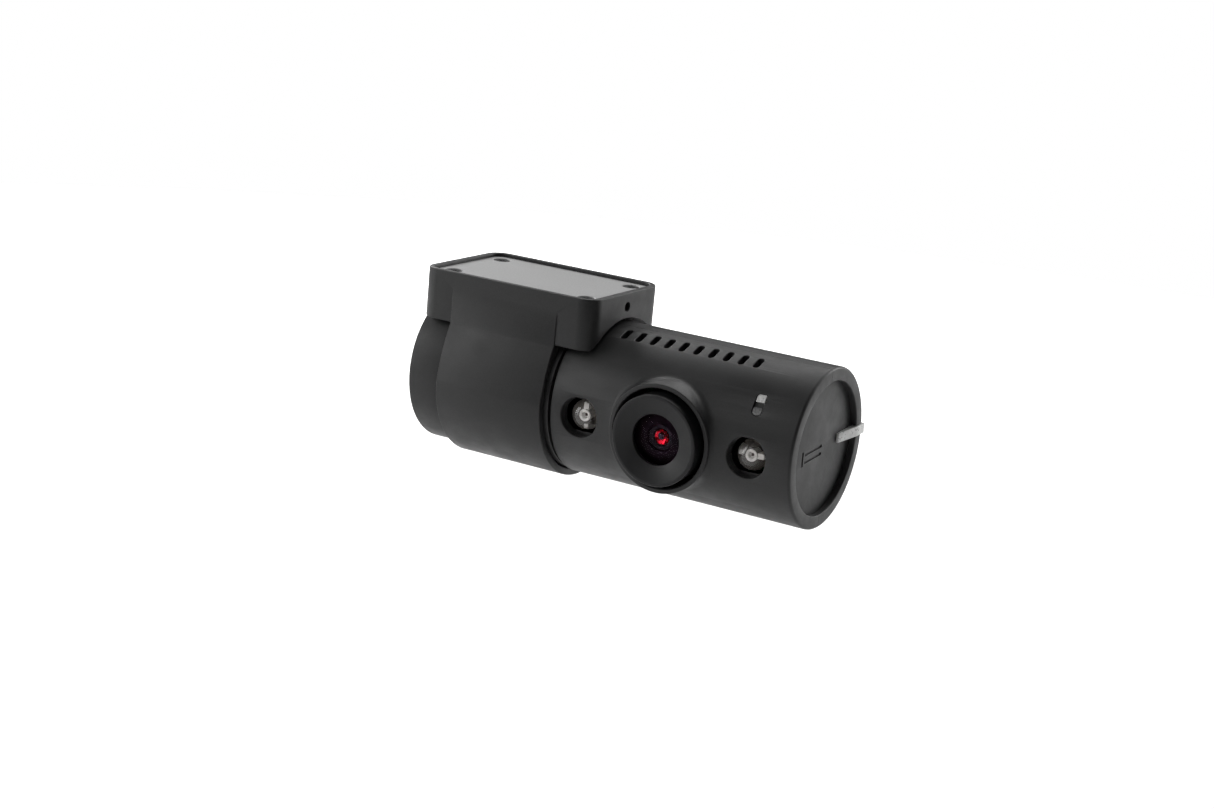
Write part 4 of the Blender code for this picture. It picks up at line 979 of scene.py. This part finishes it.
def make_lens():
    """The lens, from profiles of (distance out from the tube's axis, radius)."""

    def lathe(name, profile, finish, slot, replaces=(), segments=BORE_ROUND, centre=(LENS_X, 0.0)):
        mesh = turned(name, profile, "y", centre, segments)
        piece(name, mesh, FINISH[finish], "camera_tube", slot, replaces)

    bezel_in = BARREL_R + 0.15
    bezel = soften([
        (8.6, bezel_in), (8.6, BEZEL_R), (BEZEL_OUT, BEZEL_R, 0.18), (BEZEL_OUT, BEZEL_R - 0.5, 0.18),
        (BEZEL_OUT - BEZEL_DISH, GLASS_OPENING_R, 0.07), (13.4, GLASS_OPENING_R), (13.4, bezel_in),
    ])
    lathe("lens_bezel_ring", bezel, "bezel", "bezel_plastic", ["lens_bezel"])
    dome = cap_points(12.75, 13.7, 4.4) + [(12.2, 4.4), (12.2, 4.0)]
    dome += reversed(cap_points(12.25, 13.1, 3.8))
    lathe("lens_front_glass_dome", dome, "glass", "coated_glass", ["lens_front_glass"])
    barrel = [
        (-1.0, 2.7), (-1.0, BARREL_R - 1.2), (1.0, BARREL_R - 1.2), (1.0, BARREL_R), (13.3, BARREL_R),
        (13.3, 4.55), (11.5, 4.55), (11.5, 3.25), (3.2, 3.25), (3.2, 2.7),
    ]
    lathe("lens_barrel_body", barrel, "barrel", "barrel_metal", ["lens_barrel"])
    retainer = soften([
        (11.6, 2.0), (11.6, 4.5), (12.1, 4.5), (12.1, 3.9), (12.62, 2.35, 0.06), (12.62, 2.12, 0.06),
        (12.2, 1.9),
    ])
    lathe("lens_retainer", retainer, "barrel", "barrel_metal")
    inner_ring = soften([
        (10.4, 1.2), (10.4, 3.15), (11.3, 3.15), (12.05, 1.95, 0.05), (12.05, 1.45, 0.08), (11.7, 1.2),
    ])
    lathe("lens_spacer_cone", inner_ring, "bezel", "bezel_plastic", ["lens_spacer"])
    # A concave coated dish shows the red reflex, round a dark pupil. The pupil sits left of the lens axis,
    # so that it also darkens the left part of the reflex as painted shade.
    reflex = cap_points(11.92, 11.45, 1.12, 10) + [(11.2, 1.12), (11.2, 0.0)]
    replaced = ["lens_middle_element"]
    lathe("lens_middle_element_reflex", reflex, "red_glass", "red_glass", replaced, HOLE_ROUND)
    pupil_and_shade = cap_points(11.70, 11.80, 0.52, 6) + [(11.4, 0.52), (11.3, 0.0)]
    lathe("lens_pupil_and_shade", pupil_and_shade, "dark_glass", "coated_glass", (), SEAT_ROUND, PUPIL_AND_SHADE_AT)


# Infrared lamps -----------------------------------------------------------------------


def make_lamps():
    crown_base = LED_TIP_OUT - LED_BODY_R
    crown_steps = 12
    flange_out = LED_BASE_OUT + LED_FLANGE_T
    profile = [(LED_BASE_OUT, 0.0), (LED_BASE_OUT, LED_FLANGE_R), (flange_out, LED_FLANGE_R)]
    profile.append((flange_out, LED_BODY_R))
    for k in range(crown_steps + 1):
        turn = math.pi / 2 * k / crown_steps
        profile.append((crown_base + LED_BODY_R * math.sin(turn), LED_BODY_R * math.cos(turn)))
    for side, x in lamp_places():
        name = f"ir_led_{side}"
        mesh = turned(name, profile, "y", (x, 0.0), HOLE_ROUND)
        piece(f"{name}_dome", mesh, FINISH["epoxy"], "camera_tube", "clear_epoxy", [name])
        make_lead_frame(side, x)


def make_lead_frame(side, x):
    """The inside of a lamp: the cup with its bar and post, the other post, the die and the dish."""
    turn = Matrix.Identity(4) if side == "left" else Matrix.Rotation(math.pi / 2, 4, "Y")
    where = Matrix.Translation((x, 0.0, 0.0)) @ turn
    cup = soften([
        (9.0, 0.0), (9.0, 0.5), (10.3, 0.72, 0.03), (10.3, 0.40, 0.03), (9.9, 0.28), (9.9, 0.0),
    ])
    cup_mesh = turned("cup", cup, "y", (0.0, 0.0), SEAT_ROUND)
    bar = slab("bar", round_rectangle(0.35, 0.52, 0.06, 3), *LED_BAR_OUT, "y", 0.04)
    bar.transform(Matrix.Translation((0.0, 0.0, LED_BAR_OFFSET)))
    post_outline = round_rectangle(LED_LEG_HALF, LED_LEG_HALF, 0.05, 3)
    post = slab("post", post_outline, LED_LEG_BACK, CATHODE_OUT, "y")
    post.transform(Matrix.Translation((0.0, 0.0, LED_LEG_OFFSET)))
    mesh = carve(cup_mesh, ("UNION", bar), ("UNION", post))
    mesh.transform(where)
    name = f"ir_led_{side}"
    piece(f"{name}_cathode_frame", mesh, FINISH["lead"], "camera_tube", "lead_metal", [f"{name}_cathode"])
    tip_outline = round_rectangle(LED_LEG_HALF, LED_LEG_HALF, 0.06, 3)
    tip = slab("tip", tip_outline, LED_LEG_BACK, ANODE_OUT, "y", 0.04)
    tip.transform(Matrix.Translation((0.0, 0.0, -LED_LEG_OFFSET)))
    tip.transform(where)
    piece(f"{name}_anode_post", tip, FINISH["lead"], "camera_tube", "lead_metal", [f"{name}_anode"])
    die = slab("die", round_rectangle(LED_DIE_HALF, LED_DIE_HALF, 0.02, 2), *LED_DIE_OUT, "y", 0.02)
    die.transform(where)
    piece(f"{name}_die", die, FINISH["die"], "camera_tube", "chip_black")
    dish = soften([(8.7, 0.0), (8.7, 1.75), (9.35, 2.25), (9.25, 2.3), (8.5, 1.8), (8.5, 0.0)])
    dish_mesh = turned("dish", dish, "y", (0.0, 0.0), SEAT_ROUND)
    dish_mesh.transform(where)
    piece(f"{name}_reflector", dish_mesh, FINISH["reflector"], "camera_tube", "lead_metal")


# Window -------------------------------------------------------------------------------


def make_window():
    """The status light's face and the sensor's, in the two ends of the small window."""
    floor = TUBE_R - WINDOW_DEPTH - WINDOW_FACE_BED
    face = TUBE_R - WINDOW_FACE_SINK
    where = round_the_tube(WINDOW_ANGLE, WINDOW_X)
    half = WINDOW_WIDTH / 2 - WINDOW_FACE_GAP
    end = WINDOW_LENGTH / 2 - WINDOW_FACE_GAP
    upper = soften([
        (half - 0.14, end - 0.12, 0.12), (-half, end - 0.12, 0.12), (-half, end - 1.36, 0.06),
        (half - 0.14, end - 1.36, 0.06),
    ])
    mesh = slab("status", upper, floor, face, "y", 0.04)
    mesh.transform(where)
    replaced = ["status_light_pipe"]
    piece("status_light_pipe_face", mesh, FINISH["guide"], "camera_tube", "light_guide", replaced)
    side = half - 0.08
    high, low = -end + 1.35, -end + 0.1
    lower = soften([(side, high, 0.08), (-side, high, 0.08), (-side, low, 0.6), (side, low, 0.6)])
    mesh = slab("sensor", lower, floor, face, "y", 0.04)
    mesh.transform(where)
    piece("sensor_window_face", mesh, FINISH["smoked"], "camera_tube", "smoked_window", ["sensor_window"])


# Carried-over pieces ------------------------------------------------------------------


KEPT = {
    "plug_socket": "chip", "socket_ring": "lead", "lens_holder": "chip", "lens_rear_element": "dark_glass",
    "ir_pass_filter": "red_glass", "image_sensor": "chip", "main_board": "board", "processor_chip": "chip",
    "thermal_pad": "pad", "heat_spreader": "aluminium", "status_led": "ceramic", "light_sensor": "chip",
    "end_led": "ceramic", "led_spacer_left": "chip", "led_spacer_right": "chip",
    "board_connector": "ceramic", "internal_lead": "lead_jacket", "holder_screw_1": "screw",
    "holder_screw_2": "screw", "socket_contact_1": "gold", "socket_contact_2": "gold",
    "socket_contact_3": "gold", "socket_contact_4": "gold",
}


def finish_kept_nodes():
    for node, finish in KEPT.items():
        mesh = frame["nodes"][node].data
        mesh.materials.clear()
        mesh.materials.append(FINISH[finish])


# Stage --------------------------------------------------------------------------------


def make_stage():
    n = Nodes("floor_paper")
    n.link(n.blend(n.ramp(n.noise(9.0), 0.0, 1.0), (0.93, 0.93, 0.93), (0.95, 0.95, 0.95)), "Base Color")
    n.set(Roughness=0.9, Emission_Color=(1.0, 1.0, 1.0, 1.0))
    # The paper brightens away from the object until it meets the white studio
    reach = n.tree.nodes.new("ShaderNodeVectorMath")
    reach.operation = "LENGTH"
    n.tree.links.new(n.where, reach.inputs[0])
    glow = n.ramp(reach.outputs["Value"], 0.0, FLOOR_GLOW, FLOOR_GLOW_FROM, FLOOR_GLOW_TO)
    n.link(glow, "Emission Strength")
    turns = [2 * math.pi * k / ROUND for k in range(ROUND)]
    sheet = [(FLOOR_R * math.cos(t), FLOOR_R * math.sin(t), 0.0) for t in turns]
    bm = bmesh.new()
    bm.faces.new([bm.verts.new(point) for point in sheet])
    floor = bpy.data.objects.new("floor", to_mesh(bm, "floor"))
    floor.data.materials.append(n.material)
    floor.location.z = cad_box[0][2] - FLOOR_DROP
    bpy.context.collection.objects.link(floor)

    # A white studio round the object that adds hardly any light of its own
    world = bpy.data.worlds.new("studio")
    world.use_nodes = True
    tree = world.node_tree
    background = tree.nodes["Background"]
    background.inputs["Color"].default_value = (1.0, 1.0, 1.0, 1.0)
    path = tree.nodes.new("ShaderNodeLightPath")
    level = tree.nodes.new("ShaderNodeMapRange")
    level.inputs["To Min"].default_value = STUDIO_LIGHT
    level.inputs["To Max"].default_value = 1.0
    tree.links.new(path.outputs["Is Camera Ray"], level.inputs["Value"])
    tree.links.new(level.outputs["Result"], background.inputs["Strength"])
    bpy.context.scene.world = world
    bpy.context.scene.view_settings.view_transform = "Standard"

    for name, position, size, power in SOFTBOXES:
        lamp = bpy.data.lights.new(name, "AREA")
        lamp.shape = "RECTANGLE"
        lamp.size, lamp.size_y = size
        lamp.energy = power
        thing = bpy.data.objects.new(name, lamp)
        thing.location = position
        aim = Vector(LIT_POINT) - Vector(position)
        thing.rotation_euler = aim.to_track_quat("-Z", "Y").to_euler()
        bpy.context.collection.objects.link(thing)


def make_camera():
    """The camera, from its angles round the object and its roll about its own line of sight."""
    azimuth, elevation, roll = (math.radians(a) for a in (CAMERA_AZIMUTH, CAMERA_ELEVATION, CAMERA_ROLL))
    across = Vector((math.cos(azimuth), math.sin(azimuth), 0.0))
    level = math.cos(elevation)
    ahead = Vector((-math.sin(azimuth) * level, math.cos(azimuth) * level, -math.sin(elevation)))
    above = across.cross(ahead)
    right = math.cos(roll) * across + math.sin(roll) * above
    up = math.cos(roll) * above - math.sin(roll) * across
    data = bpy.data.cameras.new("camera")
    data.sensor_width = CAMERA_SENSOR
    data.lens = CAMERA_LENS
    data.clip_start = CAMERA_CLIP_START
    camera = bpy.data.objects.new("camera", data)
    matrix = Matrix((right, up, -ahead)).transposed().to_4x4()
    matrix.translation = Vector(CAMERA_PLACE)
    camera.matrix_world = matrix
    bpy.context.collection.objects.link(camera)
    bpy.context.scene.camera = camera


make_camera()
make_bracket()
make_front_shell()
make_rear_shell()
make_right_end()
make_left_end()
make_lens()
make_lamps()
make_window()
finish_kept_nodes()
make_stage()
